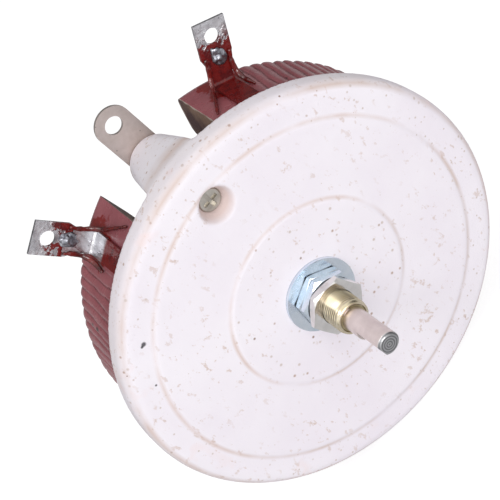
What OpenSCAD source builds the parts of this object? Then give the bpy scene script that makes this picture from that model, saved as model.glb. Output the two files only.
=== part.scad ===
// Wirewound rheostat: a ceramic base with a C-shaped wound core behind it, a bushing and shaft
// through its middle, and a contact arm that sweeps the back face of the winding.
//
// Every piece is drawn with the shaft along +Z (its knob end up) and the boss of the centre
// terminal along +Y, then turned so that the shaft points to -Y and the boss to +Z.
// Z = 0 is the seat plane: the middle of the base's front face, where the clamping hardware sits.

/* [Base] */
// Diameter of the ceramic base
base_d = 114; // [104:0.5:124]
// Thickness of the base plate
base_t = 8; // [7:0.1:10]
// Radius of the rounded front edge
base_edge_r = 3; // [1:0.1:4]
// Height of each raised step on the front face
step_h = 0.5; // [0.2:0.1:0.8]
// Width of the soft slope at each step
step_slope = 0.8; // [0.3:0.1:2]
// Diameter of the outer raised step
outer_step_d = 96; // [88:0.5:98]
// Diameter of the inner raised step
inner_step_d = 52.8; // [46:0.2:60]
// Diameter of the pedestal behind the plate
pedestal_d = 33; // [31:0.5:38]
// Height of the pedestal behind the plate
pedestal_h = 6; // [5:0.1:9]
// Radius of the fillet at the foot of the pedestal
pedestal_fillet = 1.5; // [0.5:0.1:3]

/* [Terminal boss] */
// Distance from the rim in to the terminal screw's axis
boss_inset = 13.8; // [12.5:0.1:15]
// Diameter of the boss near its end
boss_d = 14.8; // [13.5:0.1:16.5]
// Rounding of the shoulder at the boss's end
boss_round = 1; // [0.6:0.1:2]
// How far each side of the boss spreads from its end to its foot
boss_draft = 1.3; // [0.3:0.1:1.6]
// Radius of the flare at the foot of the boss
boss_flare = 1; // [0.5:0.1:1.5]

/* [Core and winding] */
// Distance from the rim in to the outside of the winding
winding_inset = 3.7; // [3:0.1:5]
// Radial width of the ceramic core
core_w = 10; // [9:0.1:12]
// Height of the ceramic core along the shaft
core_h = 22.4; // [20:0.1:26]
// Rounding of the core's long edges
core_round = 2; // [1:0.1:3.5]
// Angle of the gap between the winding's ends, seen from the shaft
gap_angle = 35; // [33:0.5:42]
// Angle between the core's left cut face and the centre line of the gap
gap_cut_left = 5.7; // [4:0.1:17.5]
// Angle between the core's right cut face and the centre line of the gap
gap_cut_right = 17.5; // [4:0.1:17.5]
// Thickness of the enamel on the core
enamel_t = 0.7; // [0.4:0.05:1.2]
// Thickness of the resistance ribbon
ribbon_t = 0.8; // [0.5:0.05:1.2]
// Width of the resistance ribbon
ribbon_w = 2.1; // [1.2:0.05:2.2]
// Number of turns of ribbon
turns = 82; // [60:1:82]
// Angle of the gap between the first turn and the last
turns_gap_angle = 68; // [67.5:0.5:74]
// Angle of the smooth enamelled ends, measured across the gap
smooth_angle = 64; // [56:0.5:64]
// Thickness of the cement bed under the core
cement_t = 0.6; // [0.3:0.1:1.2]
// How far the cement squeezes out past the winding
cement_lip = 1; // [0.3:0.1:2]

/* [End terminals] */
// Angle between the boss and each end terminal
lug_angle = 28.8; // [26:0.1:29]
// Thickness of the terminal metal
lug_t = 0.8; // [0.5:0.05:1.2]
// Width of the tab
lug_w = 9; // [8:0.1:10]
// Width of the neck and of the leg
lug_neck_w = 6.3; // [4:0.1:7]
// Length of the neck from the winding to the tab
lug_neck = 5.6; // [4:0.1:7]
// Length of the tab
lug_tab = 12.65; // [11:0.05:16]
// Length of the sloped shoulder between neck and tab
lug_shoulder = 3; // [1:0.1:3.5]
// Diameter of the wire hole
lug_hole_d = 4.2; // [3:0.1:4.8]
// Distance from the wire hole to the tab's end
lug_hole_edge = 4.3; // [3.5:0.1:6]
// Distance of the tab behind the seat plane
lug_level = 25.7; // [20:0.1:28]
// Inside radius of the bend between leg and neck
lug_bend = 1; // [0.5:0.1:1.6]
// Length of the leg on the winding
lug_leg = 14; // [8:0.1:15]

/* [Centre terminal] */
// Width of the centre terminal
centre_lug_w = 10.6; // [9.5:0.1:12]
// Distance from the screw to the wire hole
centre_lug_reach = 15.9; // [14:0.1:20]
// Diameter of the wire hole
centre_lug_hole_d = 5; // [3:0.1:6]
// Diameter of the terminal screw
screw_d = 4; // [3:0.1:4.5]
// Diameter of the screw's head
screw_head_d = 6.4; // [6:0.1:7]
// Thickness of the screw's head
screw_head_t = 2; // [1.4:0.1:3]
// Depth of the screw's head below the seat plane
screw_sink = 4; // [1.5:0.1:4.5]
// Diameter of the countersink at the face
sink_d = 10.7; // [9:0.1:12]
// How far the screw stands out of its nut
screw_proud = 1.2; // [0.5:0.1:3]
// Width of the cross recess in the screw's head
recess_w = 1.1; // [0.6:0.1:1.4]
// Depth of the cross recess
recess_depth = 1.2; // [0.6:0.1:1.3]
// Distance across the flats of the terminal nut
screw_nut_af = 8.7; // [6.5:0.1:9.5]
// Thickness of the terminal nut
screw_nut_t = 3; // [2:0.1:4]
// Thickness of the terminal lock washer
screw_washer_t = 0.7; // [0.4:0.1:1.2]
// Outer diameter of the terminal lock washer
screw_washer_d = 7.6; // [7:0.1:9]

/* [Bushing and hardware] */
// Outside diameter of the bushing's thread
thread_d = 9.525; // [9:0.005:10.5]
// Length of the bushing in front of the seat plane
bushing_l = 16; // [14:0.1:20]
// Length of the plain collar at the bushing's tip
collar_l = 1.1; // [0.5:0.1:2]
// How much smaller the collar is than the thread, across
collar_step = 0.5; // [0.2:0.1:0.8]
// Distance across the flats of the bushing's hex flange
flange_af = 14; // [12.5:0.1:15]
// Thickness of the bushing's hex flange
flange_t = 3; // [2:0.1:4]
// Diameter of the flat washer
washer_d = 20.6; // [18:0.1:24]
// Thickness of the flat washer
washer_t = 1; // [0.5:0.05:1.5]
// Distance across the flats of the three nuts
nut_af = 14.29; // [13:0.01:16]
// Thickness of each nut
nut_t = 2.38; // [1.8:0.01:3]
// Width of the chamfer on the nuts' corners
nut_chamfer = 0.55; // [0.2:0.05:0.8]
// Turn of the two rear nuts about the shaft
rear_nut_turn = 24; // [0:0.5:59.5]
// Turn of the front nut about the shaft
front_nut_turn = 49.5; // [0:0.5:59.5]
// Diameter of the toothed lock washer
lock_d = 13.6; // [12.5:0.1:14]
// Thickness of the toothed lock washer
lock_t = 0.8; // [0.3:0.05:1]
// Number of teeth inside the lock washer
lock_teeth = 10; // [6:1:12]

/* [Shaft] */
// Diameter of the shaft
shaft_d = 6.35; // [6:0.01:6.5]
// Length of the shaft in front of the seat plane
shaft_front = 31.75; // [28:0.05:45]
// Length of the flat at the knob end
flat_l = 9.75; // [6:0.05:11]
// Depth of the flat
flat_depth = 0.7; // [0.4:0.05:0.75]
// Direction of the flat, turned from the boss
flat_angle = 94; // [0:1:359]
// Size of the bevel at the knob end
shaft_bevel = 0.6; // [0.3:0.05:1]
// Thickness of each retaining clip
clip_t = 0.6; // [0.4:0.05:0.8]
// Radial width of each retaining clip
clip_w = 0.9; // [0.7:0.05:0.9]
// Depth of each clip's groove in the shaft
clip_groove = 0.4; // [0.2:0.05:0.5]
// Angle of the opening in each clip
clip_gap = 50; // [30:1:90]

/* [Rotor] */
// Travel of the contact arm from stop to stop
travel = 284; // [270:1:286]
// Diameter of the ceramic hub
hub_d = 16; // [15:0.1:17]
// Diameter of the hub's flange
hub_flange_d = 26; // [25.5:0.1:28]
// Thickness of the hub's flange
hub_flange_t = 3; // [2:0.1:4]
// Thickness of the thrust washer
thrust_t = 0.8; // [0.5:0.05:1]
// Diameter of the thrust washer
thrust_d = 14; // [11:0.1:15]
// Inner diameter of the fixed collector ring
collector_id = 20; // [19:0.1:22]
// Outer diameter of the fixed collector ring
collector_od = 31; // [29:0.1:33]
// Thickness of the collector ring and its lead
collector_t = 0.8; // [0.5:0.05:1]
// Width of the collector's lead
lead_w = 8; // [6:0.1:8.4]
// Outer diameter of the turning slip ring
slip_od = 30; // [29:0.1:32]
// Thickness of the turning slip ring
slip_t = 1; // [0.6:0.05:1.5]
// Mean diameter of the hub spring
spring_d = 23; // [21.5:0.1:24]
// Diameter of the hub spring's wire
spring_wire_d = 1.4; // [0.8:0.1:1.6]
// Length of the fitted hub spring
spring_l = 11; // [9:0.1:12]
// Turns of the hub spring
spring_turns = 4; // [3:1:5]
// Thickness of the stop arm
stop_arm_t = 1.5; // [1:0.1:2.5]
// Width of the stop arm
stop_arm_w = 6; // [4:0.1:7]
// Reach of the stop arm from the shaft's axis
stop_arm_r = 29; // [28:0.1:31]
// Distance of the stop pins from the shaft's axis
stop_pin_r = 25; // [24:0.1:26]
// Diameter of each stop pin
stop_pin_d = 5; // [4:0.1:5]
// Depth of each stop pin in the base
stop_pin_seat = 2.5; // [1.5:0.1:4]
// How far each stop pin reaches past the stop arm
stop_pin_over = 1.6; // [0.8:0.1:3]
// Thickness of the contact arm
arm_t = 1.2; // [0.8:0.1:1.6]
// Width of the contact arm at its tip
arm_tip_w = 9.4; // [9:0.1:11]
// Width of the contact arm at the hub
arm_root_w = 16; // [14:0.1:18]
// Width of the brush across the arm
brush_w = 7.6; // [6:0.1:8]
// Length of the brush along the arm
brush_l = 7; // [5:0.1:8]
// Height of the brush
brush_h = 5.4; // [4:0.1:7]
// Thickness of the brush holder's sheet
holder_t = 0.6; // [0.4:0.05:0.8]
// How far the brush stands out of its holder
brush_proud = 2.2; // [1.5:0.1:3]
// Diameter of the braided pigtail
pigtail_d = 2.2; // [1.5:0.1:2.4]
// Diameter of the cross pin through hub and shaft
hub_pin_d = 2; // [1.5:0.1:2.4]
// Thickness of the rear washer
rear_washer_t = 0.8; // [0.5:0.05:1.2]
// How far the shaft stands out behind its rear clip
shaft_rear_proud = 1; // [0.6:0.1:3]

/* [Clearances] */
// Radial gap between the shaft and the bushing's bore
running_gap = 0.05; // [0.03:0.01:0.08]
// Radial gap between fixed pieces that fit together
fit_gap = 0.1; // [0.05:0.01:0.12]
// Gap between flat faces that slide on each other
slide_gap = 0.15; // [0.1:0.01:0.25]
// Gap between the ribbon and the enamel below it
wrap_gap = 0.1; // [0.05:0.01:0.2]
// Gap between each end of the pigtail and the metal it is soldered to
end_gap = 0.3; // [0.25:0.01:0.4]
// Gap between the stop arm and a stop pin at full travel
stop_gap = 0.25; // [0.2:0.01:0.4]

/* [Hidden] */

round_fn = 96;      // facets of the large round pieces
small_fn = 48;      // facets of the small round pieces
hull_fn = 32;       // facets of circles inside a hull
arc_steps = 5;      // straight pieces in a rounded corner
cut = 1;            // how far a cutting shape runs past what it cuts
skin = 0.01;        // thickness of a sheet that only shapes a hull
buried = 0.5;       // how deep one shape of a piece runs into the next

// Radii about the shaft
base_r = base_d / 2;
shaft_r = shaft_d / 2;
thread_r = thread_d / 2;
pedestal_r = pedestal_d / 2;
winding_ro = base_r - winding_inset;
wrap_t = enamel_t + wrap_gap + ribbon_t;
core_ro = winding_ro - wrap_t;
core_ri = core_ro - core_w;
winding_ri = core_ri - wrap_t;
brush_r = (core_ro + core_ri) / 2;
boss_y = base_r - boss_inset;
boss_r = boss_d / 2;
hub_r = hub_d / 2;
spring_r = spring_d / 2;
bore_r = shaft_r + running_gap;

// Levels along the shaft, from the seat plane to the back
plate_front = -2 * step_h;
plate_back = -base_t;
pedestal_back = plate_back - pedestal_h;
winding_front = plate_back - cement_t;
core_front = winding_front - wrap_t;
core_back = core_front - core_h;
winding_back = core_back - wrap_t;
boss_end = winding_back;
lug_back = boss_end - lug_t;
lead_back = lug_back - collector_t;
screw_washer_back = lead_back - screw_washer_t;
screw_nut_back = screw_washer_back - screw_nut_t;
collector_back = pedestal_back - collector_t;
slip_front = collector_back - slide_gap;
slip_back = slip_front - slip_t;
thrust_front = pedestal_back - slide_gap;
hub_front = thrust_front - thrust_t;
flange_front = slip_back - spring_l;
flange_back = flange_front - hub_flange_t;
stop_arm_back = flange_back - stop_arm_t;
brush_front = winding_back - slide_gap;
holder_back = brush_front - brush_h - holder_t;
arm_back = holder_back - arm_t;
rear_washer_back = arm_back - rear_washer_t;
rear_clip_back = rear_washer_back - clip_t;
shaft_back = rear_clip_back - shaft_rear_proud;

// Levels in front of the seat plane
fixing_nut_z = washer_t;
lock_nut_z = fixing_nut_z + nut_t;
lock_washer_z = lock_nut_z + nut_t;
panel_nut_z = lock_washer_z + lock_t;
clip_seat = bushing_l - clip_t - 2 * slide_gap;

pin_turn = 180 - travel / 2 - asin((stop_arm_w / 2 + stop_pin_d / 2 + stop_gap) / stop_pin_r);

// Turns a piece from its drawing position to its place: shaft to -Y, boss to +Z
module placed() {
    rotate([90, 0, 0]) children();
}

// Points of an arc about a centre, from one angle to another
function arc(c, r, a0, a1) =
    [for (i = [0:arc_steps]) let (a = a0 + (a1 - a0) * i / arc_steps) c + r * [cos(a), sin(a)]];

// Outline of a rounded rectangle with its corners at lo and hi
function rounded_box(lo, hi, r) = concat(
    arc([hi.x - r, hi.y - r], r, 0, 90),
    arc([lo.x + r, hi.y - r], r, 90, 180),
    arc([lo.x + r, lo.y + r], r, 180, 270),
    arc([hi.x - r, lo.y + r], r, 270, 360));

// A flat ring from z0 up to z0 + t
module ring(ro, ri, z0, t, fn = small_fn) {
    difference() {
        translate([0, 0, z0]) cylinder(r = ro, h = t, $fn = fn);
        translate([0, 0, z0 - cut]) cylinder(r = ri, h = t + 2 * cut, $fn = fn);
    }
}

// A closed tube of straight pieces through the points; side is a direction that is never along it
module tube(points, r, sides, side) {
    last = len(points) - 1;
    function unit(v) = v / norm(v);
    function along(i) = unit(points[min(i + 1, last)] - points[max(i - 1, 0)]);
    function across(i) = unit(cross(along(i), side));
    function upward(i) = cross(across(i), along(i));
    rings = [for (i = [0:last]) for (k = [0:sides - 1])
        points[i] + r * (across(i) * cos(360 * k / sides) + upward(i) * sin(360 * k / sides))];
    walls = [for (i = [0:last - 1]) for (k = [0:sides - 1]) for (half = [0, 1])
        let (a = i * sides + k, b = i * sides + (k + 1) % sides)
        half == 0 ? [a, a + sides, b + sides] : [a, b + sides, b]];
    ends = [[for (k = [0:sides - 1]) k], [for (k = [sides - 1:-1:0]) last * sides + k]];
    polyhedron(points = rings, faces = concat(walls, ends), convexity = 6);
}

// ---- Base ------------------------------------------------------------------------------------

// The turned form of the base: stepped face, rounded edge, rim, back and pedestal
function base_profile() = concat(
    [[0, 0], [inner_step_d / 2 - step_slope, 0], [inner_step_d / 2, -step_h],
     [outer_step_d / 2 - step_slope, -step_h], [outer_step_d / 2, plate_front]],
    [for (i = [arc_steps:-1:0])
        arc([base_r - base_edge_r, plate_front - base_edge_r], base_edge_r, 0, 90)[i]],
    [[base_r, plate_back + step_h], [base_r - step_h, plate_back]],
    arc([pedestal_r + pedestal_fillet, plate_back - pedestal_fillet], pedestal_fillet, 90, 180),
    [[pedestal_r, pedestal_back], [0, pedestal_back]]);

// The tapered boss, flush with the rim at its foot and rounded at its end
module boss() {
    foot_r = boss_r + boss_draft;
    rim_turn = asin(foot_r / base_r);
    hull() {
        for (a = [0:30:90])
            translate([0, boss_y, boss_end + boss_round * (1 - cos(a))])
                cylinder(r = boss_r - boss_round * (1 - sin(a)), h = skin, $fn = hull_fn);
        translate([0, boss_y, plate_back]) cylinder(r = foot_r, h = buried, $fn = hull_fn);
        translate([0, 0, plate_back]) linear_extrude(buried)
            polygon(concat([[0, boss_y]],
                [for (a = [-1:0.5:1]) (base_r - skin) * [sin(a * rim_turn), cos(a * rim_turn)]]));
    }
    hull() {
        translate([0, boss_y, plate_back - boss_flare]) cylinder(r = foot_r - skin, h = skin, $fn = hull_fn);
        translate([0, boss_y, plate_back]) cylinder(r = foot_r + boss_flare, h = skin, $fn = hull_fn);
    }
}

module base() {
    color("whitesmoke") difference() {
        union() {
            rotate_extrude($fn = round_fn) polygon(base_profile());
            boss();
        }
        // Way for the bushing, and the hex pocket that keeps it from turning
        translate([0, 0, pedestal_back - cut])
            cylinder(r = thread_r + fit_gap, h = -pedestal_back + 2 * cut, $fn = small_fn);
        translate([0, 0, pedestal_back - cut])
            rotate([0, 0, 30]) cylinder(d = flange_af / cos(30) + 2 * fit_gap, h = flange_t + cut, $fn = 6);
        // Countersink, head seat and way for the terminal screw
        translate([0, boss_y, -screw_sink])
            cylinder(d1 = screw_head_d + 2 * fit_gap,
                     d2 = sink_d + (sink_d - screw_head_d) / screw_sink * skin,
                     h = screw_sink + skin, $fn = small_fn);
        translate([0, boss_y, -screw_sink - screw_head_t])
            cylinder(d = screw_head_d + 2 * fit_gap, h = screw_head_t + skin, $fn = small_fn);
        translate([0, boss_y, boss_end - cut])
            cylinder(d = screw_d + 2 * fit_gap, h = -boss_end, $fn = small_fn);
        // Blind holes for the stop pins
        for (side = [-1, 1]) rotate([0, 0, side * pin_turn])
            translate([0, stop_pin_r, plate_back - cut])
                cylinder(d = stop_pin_d + 2 * fit_gap, h = stop_pin_seat + cut, $fn = small_fn);
    }
}

// ---- Core and winding ------------------------------------------------------------------------

// The ring about the core at a given distance from its surface
module core_ring(away) {
    rotate_extrude($fn = round_fn)
        polygon(rounded_box([core_ri - away, core_back - away], [core_ro + away, core_front + away],
                            core_round + away));
}

// The wedge between the winding's two cut faces
module gap_wedge() {
    edge_x = winding_ro * sin(gap_angle / 2);
    edge_y = winding_ro * cos(gap_angle / 2);
    function half(y, lean) = edge_x + (y - edge_y) * tan(lean);
    lo_y = winding_ri / 2;
    hi_y = winding_ro + 4 * cut;
    translate([0, 0, winding_back - cut]) linear_extrude(plate_back - winding_back + 2 * cut)
        polygon([[-half(lo_y, gap_cut_left), lo_y], [half(lo_y, gap_cut_right), lo_y],
                 [half(hi_y, gap_cut_right), hi_y], [-half(hi_y, gap_cut_left), hi_y]]);
}

module core() {
    color("oldlace") difference() {
        core_ring(0);
        gap_wedge();
    }
}

// The enamel on the core, thicker and smooth where it closes over the end terminals
module enamel_coat() {
    color("rosybrown") difference() {
        union() {
            core_ring(enamel_t);
            rotate([0, 0, 90 - smooth_angle / 2]) rotate_extrude(angle = smooth_angle, $fn = round_fn)
                polygon(rounded_box([core_ri - wrap_t, core_back - wrap_t],
                                    [core_ro + wrap_t, core_front + wrap_t], core_round + wrap_t));
        }
        core_ring(0);
        gap_wedge();
    }
}

// One ribbon wound round the core, eight stations to a turn. Each station is given by its corner
// of the core's section and by the direction in which the ribbon faces away from the core there.
// The reach across each corner just touches a circle about the corner's centre, clear of the enamel.
module resistance_ribbon() {
    away = enamel_t + wrap_gap + ribbon_t / 2;
    r_lo = core_ri - away;
    r_hi = core_ro + away;
    z_lo = core_back - away;
    z_hi = core_front + away;
    bend = (core_round + away) * (1 - tan(22.5));
    stations = [[r_hi, z_hi - bend], [r_hi, z_lo + bend], [r_hi - bend, z_lo], [r_lo + bend, z_lo],
                [r_lo, z_lo + bend], [r_lo, z_hi - bend], [r_lo + bend, z_hi], [r_hi - bend, z_hi]];
    facing = [for (k = [0:7]) 22.5 - 45 * (k % 8)];
    mitre = 1 / cos(22.5);
    count = turns * 8;
    start = 90 + turns_gap_angle / 2;
    step = (360 - turns_gap_angle) / count;
    points = [for (i = [0:count]) for (side = [-1, 1]) for (top = [-1, 1])
        let (turn = start + i * step, s = stations[i % 8], f = facing[i % 8],
             r = s[0] + top * ribbon_t / 2 * mitre * cos(f),
             z = s[1] + top * ribbon_t / 2 * mitre * sin(f))
        [r * cos(turn) - side * ribbon_w / 2 * sin(turn),
         r * sin(turn) + side * ribbon_w / 2 * cos(turn), z]];
    loop = [0, 1, 3, 2];
    walls = [for (i = [0:count - 1]) for (k = [0:3]) for (half = [0, 1])
        let (a = i * 4 + loop[k], b = i * 4 + loop[(k + 1) % 4])
        half == 0 ? [a, b, b + 4] : [a, b + 4, a + 4]];
    ends = [[for (k = [3:-1:0]) loop[k]], [for (k = [0:3]) count * 4 + loop[k]]];
    color("slategray") polyhedron(points = points, faces = concat(walls, ends), convexity = 10);
}

module core_cement() {
    color("gainsboro") difference() {
        ring(winding_ro + cement_lip, winding_ri - cement_lip, winding_front, cement_t, round_fn);
        gap_wedge();
    }
}

// ---- Terminals -------------------------------------------------------------------------------

// An end terminal drawn along +X: a leg on the winding, a bend, and a tab with clipped shoulders
module end_terminal() {
    wall_x = winding_ro + fit_gap / 2;
    tab_x = wall_x + lug_neck;
    end_x = tab_x + lug_tab;
    front = -lug_level + lug_t / 2;
    back = -lug_level - lug_t / 2;
    outer = lug_bend + lug_t;
    color("silver") difference() {
        union() {
            // Leg, bend and neck as one bent strip
            rotate([90, 0, 0]) translate([0, 0, -lug_neck_w / 2]) linear_extrude(lug_neck_w)
                polygon(concat([[wall_x, back + outer + lug_leg]],
                    arc([wall_x + outer, back + outer], outer, 180, 270),
                    [[tab_x + lug_shoulder, back], [tab_x + lug_shoulder, front]],
                    [for (i = [arc_steps:-1:0]) arc([wall_x + outer, back + outer], lug_bend, 180, 270)[i]],
                    [[wall_x + lug_t, back + outer + lug_leg]]));
            translate([0, 0, back]) linear_extrude(lug_t)
                polygon([[tab_x, -lug_neck_w / 2], [tab_x + lug_shoulder, -lug_w / 2], [end_x, -lug_w / 2],
                         [end_x, lug_w / 2], [tab_x + lug_shoulder, lug_w / 2], [tab_x, lug_neck_w / 2]]);
        }
        translate([end_x - lug_hole_edge, 0, back - cut])
            cylinder(d = lug_hole_d, h = lug_t + 2 * cut, $fn = small_fn);
    }
}

module end_terminal_left() {
    rotate([0, 0, 90 + lug_angle]) end_terminal();
}

module end_terminal_right() {
    rotate([0, 0, 90 - lug_angle]) end_terminal();
}

module centre_terminal() {
    end_y = boss_y + centre_lug_reach;
    color("tan") difference() {
        union() {
            for (y = [boss_y, end_y]) translate([0, y, lug_back])
                cylinder(d = centre_lug_w, h = lug_t, $fn = small_fn);
            translate([-centre_lug_w / 2, boss_y, lug_back]) cube([centre_lug_w, centre_lug_reach, lug_t]);
        }
        translate([0, boss_y, lug_back - cut])
            cylinder(d = screw_d + 2 * fit_gap, h = lug_t + 2 * cut, $fn = small_fn);
        translate([0, end_y, lug_back - cut])
            cylinder(d = centre_lug_hole_d, h = lug_t + 2 * cut, $fn = small_fn);
    }
}

// The fixed collector ring on the pedestal, and its lead: out along the base, back beside the
// boss and over its end to the screw
module collector_strip() {
    wall_y = boss_y - boss_r - boss_draft - fit_gap;
    lead_end = boss_y + lead_w / 2;
    color("goldenrod") difference() {
        union() {
            ring(collector_od / 2, collector_id / 2, collector_back, collector_t);
            translate([lead_w / 2, 0, 0]) rotate([90, 0, -90]) linear_extrude(lead_w)
                polygon([[-(collector_id / 2 + buried), pedestal_back], [-wall_y, pedestal_back],
                         [-wall_y, lug_back], [-lead_end, lug_back], [-lead_end, lead_back],
                         [-(wall_y - collector_t), lead_back], [-(wall_y - collector_t), collector_back],
                         [-(collector_id / 2 + buried), collector_back]]);
        }
        translate([0, boss_y, lead_back - cut])
            cylinder(d = screw_d + 2 * fit_gap, h = collector_t + 2 * cut, $fn = small_fn);
    }
}

// A flat-headed machine screw with a cross recess
module terminal_screw() {
    head_front = -screw_sink;
    tip = screw_nut_back - screw_proud;
    color("dimgray") translate([0, boss_y, 0]) difference() {
        rotate_extrude($fn = small_fn)
            polygon([[0, head_front], [screw_head_d / 2 - recess_w / 4, head_front],
                     [screw_head_d / 2, head_front - recess_w / 4],
                     [screw_head_d / 2, head_front - screw_head_t],
                     [screw_d / 2, head_front - screw_head_t], [screw_d / 2, tip + recess_w / 2],
                     [screw_d / 2 - recess_w / 2, tip], [0, tip]]);
        for (turn = [0, 90]) rotate([0, 0, turn])
            translate([-screw_head_d / 3, -recess_w / 2, head_front - recess_depth])
                cube([screw_head_d / 1.5, recess_w, recess_depth + cut]);
    }
}

// A split lock washer
module terminal_washer() {
    color("darkgray") translate([0, boss_y, 0]) difference() {
        ring(screw_washer_d / 2, screw_d / 2 + fit_gap, screw_washer_back, screw_washer_t);
        rotate([0, 0, -30]) translate([0, -screw_washer_t / 2, screw_washer_back - cut])
            cube([screw_washer_d, screw_washer_t, screw_washer_t + 2 * cut]);
    }
}

// A hex nut from z0 up, with chamfered corners on both faces
module hex_nut(af, t, hole_r, chamfer, z0, turn) {
    corner_r = af / 2 / cos(30);
    translate([0, 0, z0]) difference() {
        intersection() {
            rotate([0, 0, turn]) cylinder(r = corner_r, h = t, $fn = 6);
            rotate_extrude($fn = small_fn)
                polygon([[0, 0], [corner_r - 2 * chamfer, 0], [corner_r, chamfer],
                         [corner_r, t - chamfer], [corner_r - 2 * chamfer, t], [0, t]]);
        }
        translate([0, 0, -cut]) cylinder(r = hole_r, h = t + 2 * cut, $fn = small_fn);
    }
}

module terminal_nut() {
    color("silver") translate([0, boss_y, 0])
        hex_nut(screw_nut_af, screw_nut_t, screw_d / 2 + fit_gap, nut_chamfer / 2, screw_nut_back, 0);
}

// ---- Bushing and hardware --------------------------------------------------------------------

module bushing() {
    color("khaki") difference() {
        union() {
            rotate_extrude($fn = small_fn)
                polygon([[0, pedestal_back], [thread_r, pedestal_back], [thread_r, bushing_l - collar_l],
                         [thread_r - collar_step / 2, bushing_l - collar_l],
                         [thread_r - collar_step / 2, bushing_l], [0, bushing_l]]);
            translate([0, 0, pedestal_back]) rotate([0, 0, 30])
                cylinder(d = flange_af / cos(30), h = flange_t, $fn = 6);
        }
        translate([0, 0, pedestal_back - cut])
            cylinder(r = bore_r, h = bushing_l - pedestal_back + 2 * cut, $fn = small_fn);
        // Mouth that takes the front clip
        translate([0, 0, clip_seat])
            cylinder(r = shaft_r - clip_groove + clip_w + slide_gap,
                     h = bushing_l - clip_seat + cut, $fn = small_fn);
    }
}

module flat_washer() {
    color("lightsteelblue") ring(washer_d / 2, thread_r + fit_gap, 0, washer_t);
}

module fixing_nut() {
    color("lightsteelblue")
        hex_nut(nut_af, nut_t, thread_r + fit_gap, nut_chamfer, fixing_nut_z, rear_nut_turn);
}

module lock_nut() {
    color("lightsteelblue")
        hex_nut(nut_af, nut_t, thread_r + fit_gap, nut_chamfer, lock_nut_z, rear_nut_turn);
}

module lock_washer() {
    tooth_gap = 360 / lock_teeth;
    root_r = (lock_d / 2 + thread_r) / 2;
    color("gray") difference() {
        ring(lock_d / 2, thread_r + fit_gap, lock_washer_z, lock_t);
        for (i = [0:lock_teeth - 1]) rotate([0, 0, i * tooth_gap])
            translate([0, -root_r * sin(tooth_gap / 4), lock_washer_z - cut])
                cube([root_r, 2 * root_r * sin(tooth_gap / 4), lock_t + 2 * cut]);
    }
}

module panel_nut() {
    color("silver") hex_nut(nut_af, nut_t, thread_r + fit_gap, nut_chamfer, panel_nut_z, front_nut_turn);
}

// ---- Stops -----------------------------------------------------------------------------------

module stop_pins() {
    top = plate_back + stop_pin_seat;
    tip = stop_arm_back - stop_pin_over;
    color("darkgray") for (side = [-1, 1]) rotate([0, 0, side * pin_turn]) translate([0, stop_pin_r, 0])
        rotate_extrude($fn = small_fn)
            polygon([[0, top], [stop_pin_d / 2, top], [stop_pin_d / 2, tip + step_h],
                     [stop_pin_d / 2 - step_h, tip], [0, tip]]);
}

module stop_arm() {
    color("darkgray") difference() {
        union() {
            translate([0, 0, stop_arm_back]) cylinder(d = hub_flange_d, h = stop_arm_t, $fn = small_fn);
            translate([-stop_arm_w / 2, -stop_arm_r, stop_arm_back])
                cube([stop_arm_w, stop_arm_r, stop_arm_t]);
        }
        translate([0, 0, stop_arm_back - cut])
            cylinder(r = hub_r + fit_gap, h = stop_arm_t + 2 * cut, $fn = small_fn);
    }
}

// ---- Shaft -----------------------------------------------------------------------------------

// A groove for a clip, as a ring to cut away from the shaft
module clip_cut(z0) {
    ring(shaft_r + cut, shaft_r - clip_groove, z0 - slide_gap / 2, clip_t + slide_gap);
}

// An open retaining clip in its groove
module clip(z0) {
    reach = 2 * shaft_d;
    difference() {
        ring(shaft_r - clip_groove + clip_w, shaft_r - clip_groove + fit_gap / 4, z0, clip_t);
        translate([0, 0, z0 - cut]) linear_extrude(clip_t + 2 * cut)
            polygon([[0, 0], reach * [sin(-clip_gap / 2), cos(clip_gap / 2)],
                     reach * [sin(clip_gap / 2), cos(clip_gap / 2)]]);
    }
}

module shaft() {
    flat_z = shaft_front - flat_l;
    // Both outlines start well clear of the flat
    outline_turn = flat_angle - 124;
    color("lightgray") {
        // The round shaft up to the flat
        difference() {
            rotate([0, 0, outline_turn]) rotate_extrude($fn = small_fn)
                polygon([[0, shaft_back], [shaft_r - shaft_bevel, shaft_back],
                         [shaft_r, shaft_back + shaft_bevel], [shaft_r, flat_z], [0, flat_z]]);
            clip_cut(clip_seat + slide_gap);
            clip_cut(rear_clip_back);
            translate([-shaft_d, 0, flange_back - hub_pin_d * 2]) rotate([0, 90, 0])
                cylinder(d = hub_pin_d + fit_gap, h = 2 * shaft_d, $fn = small_fn);
        }
        // The knob end with its flat and bevel
        difference() {
            rotate([0, 0, outline_turn]) rotate_extrude($fn = small_fn)
                polygon([[0, flat_z], [shaft_r, flat_z], [shaft_r, shaft_front - shaft_bevel],
                         [shaft_r - shaft_bevel, shaft_front], [0, shaft_front]]);
            rotate([0, 0, flat_angle]) translate([-shaft_d, shaft_r - flat_depth, flat_z - cut])
                cube([2 * shaft_d, shaft_d, flat_l + 2 * cut]);
        }
    }
}

module front_clip() {
    color("dimgray") clip(clip_seat + slide_gap);
}

module rear_clip() {
    color("dimgray") clip(rear_clip_back);
}

module rear_washer() {
    color("silver") ring(hub_r - holder_t, shaft_r + fit_gap, rear_washer_back, rear_washer_t);
}

module thrust_washer() {
    color("peru") ring(thrust_d / 2, shaft_r + fit_gap, hub_front, thrust_t);
}

// ---- Rotor -----------------------------------------------------------------------------------

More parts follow.
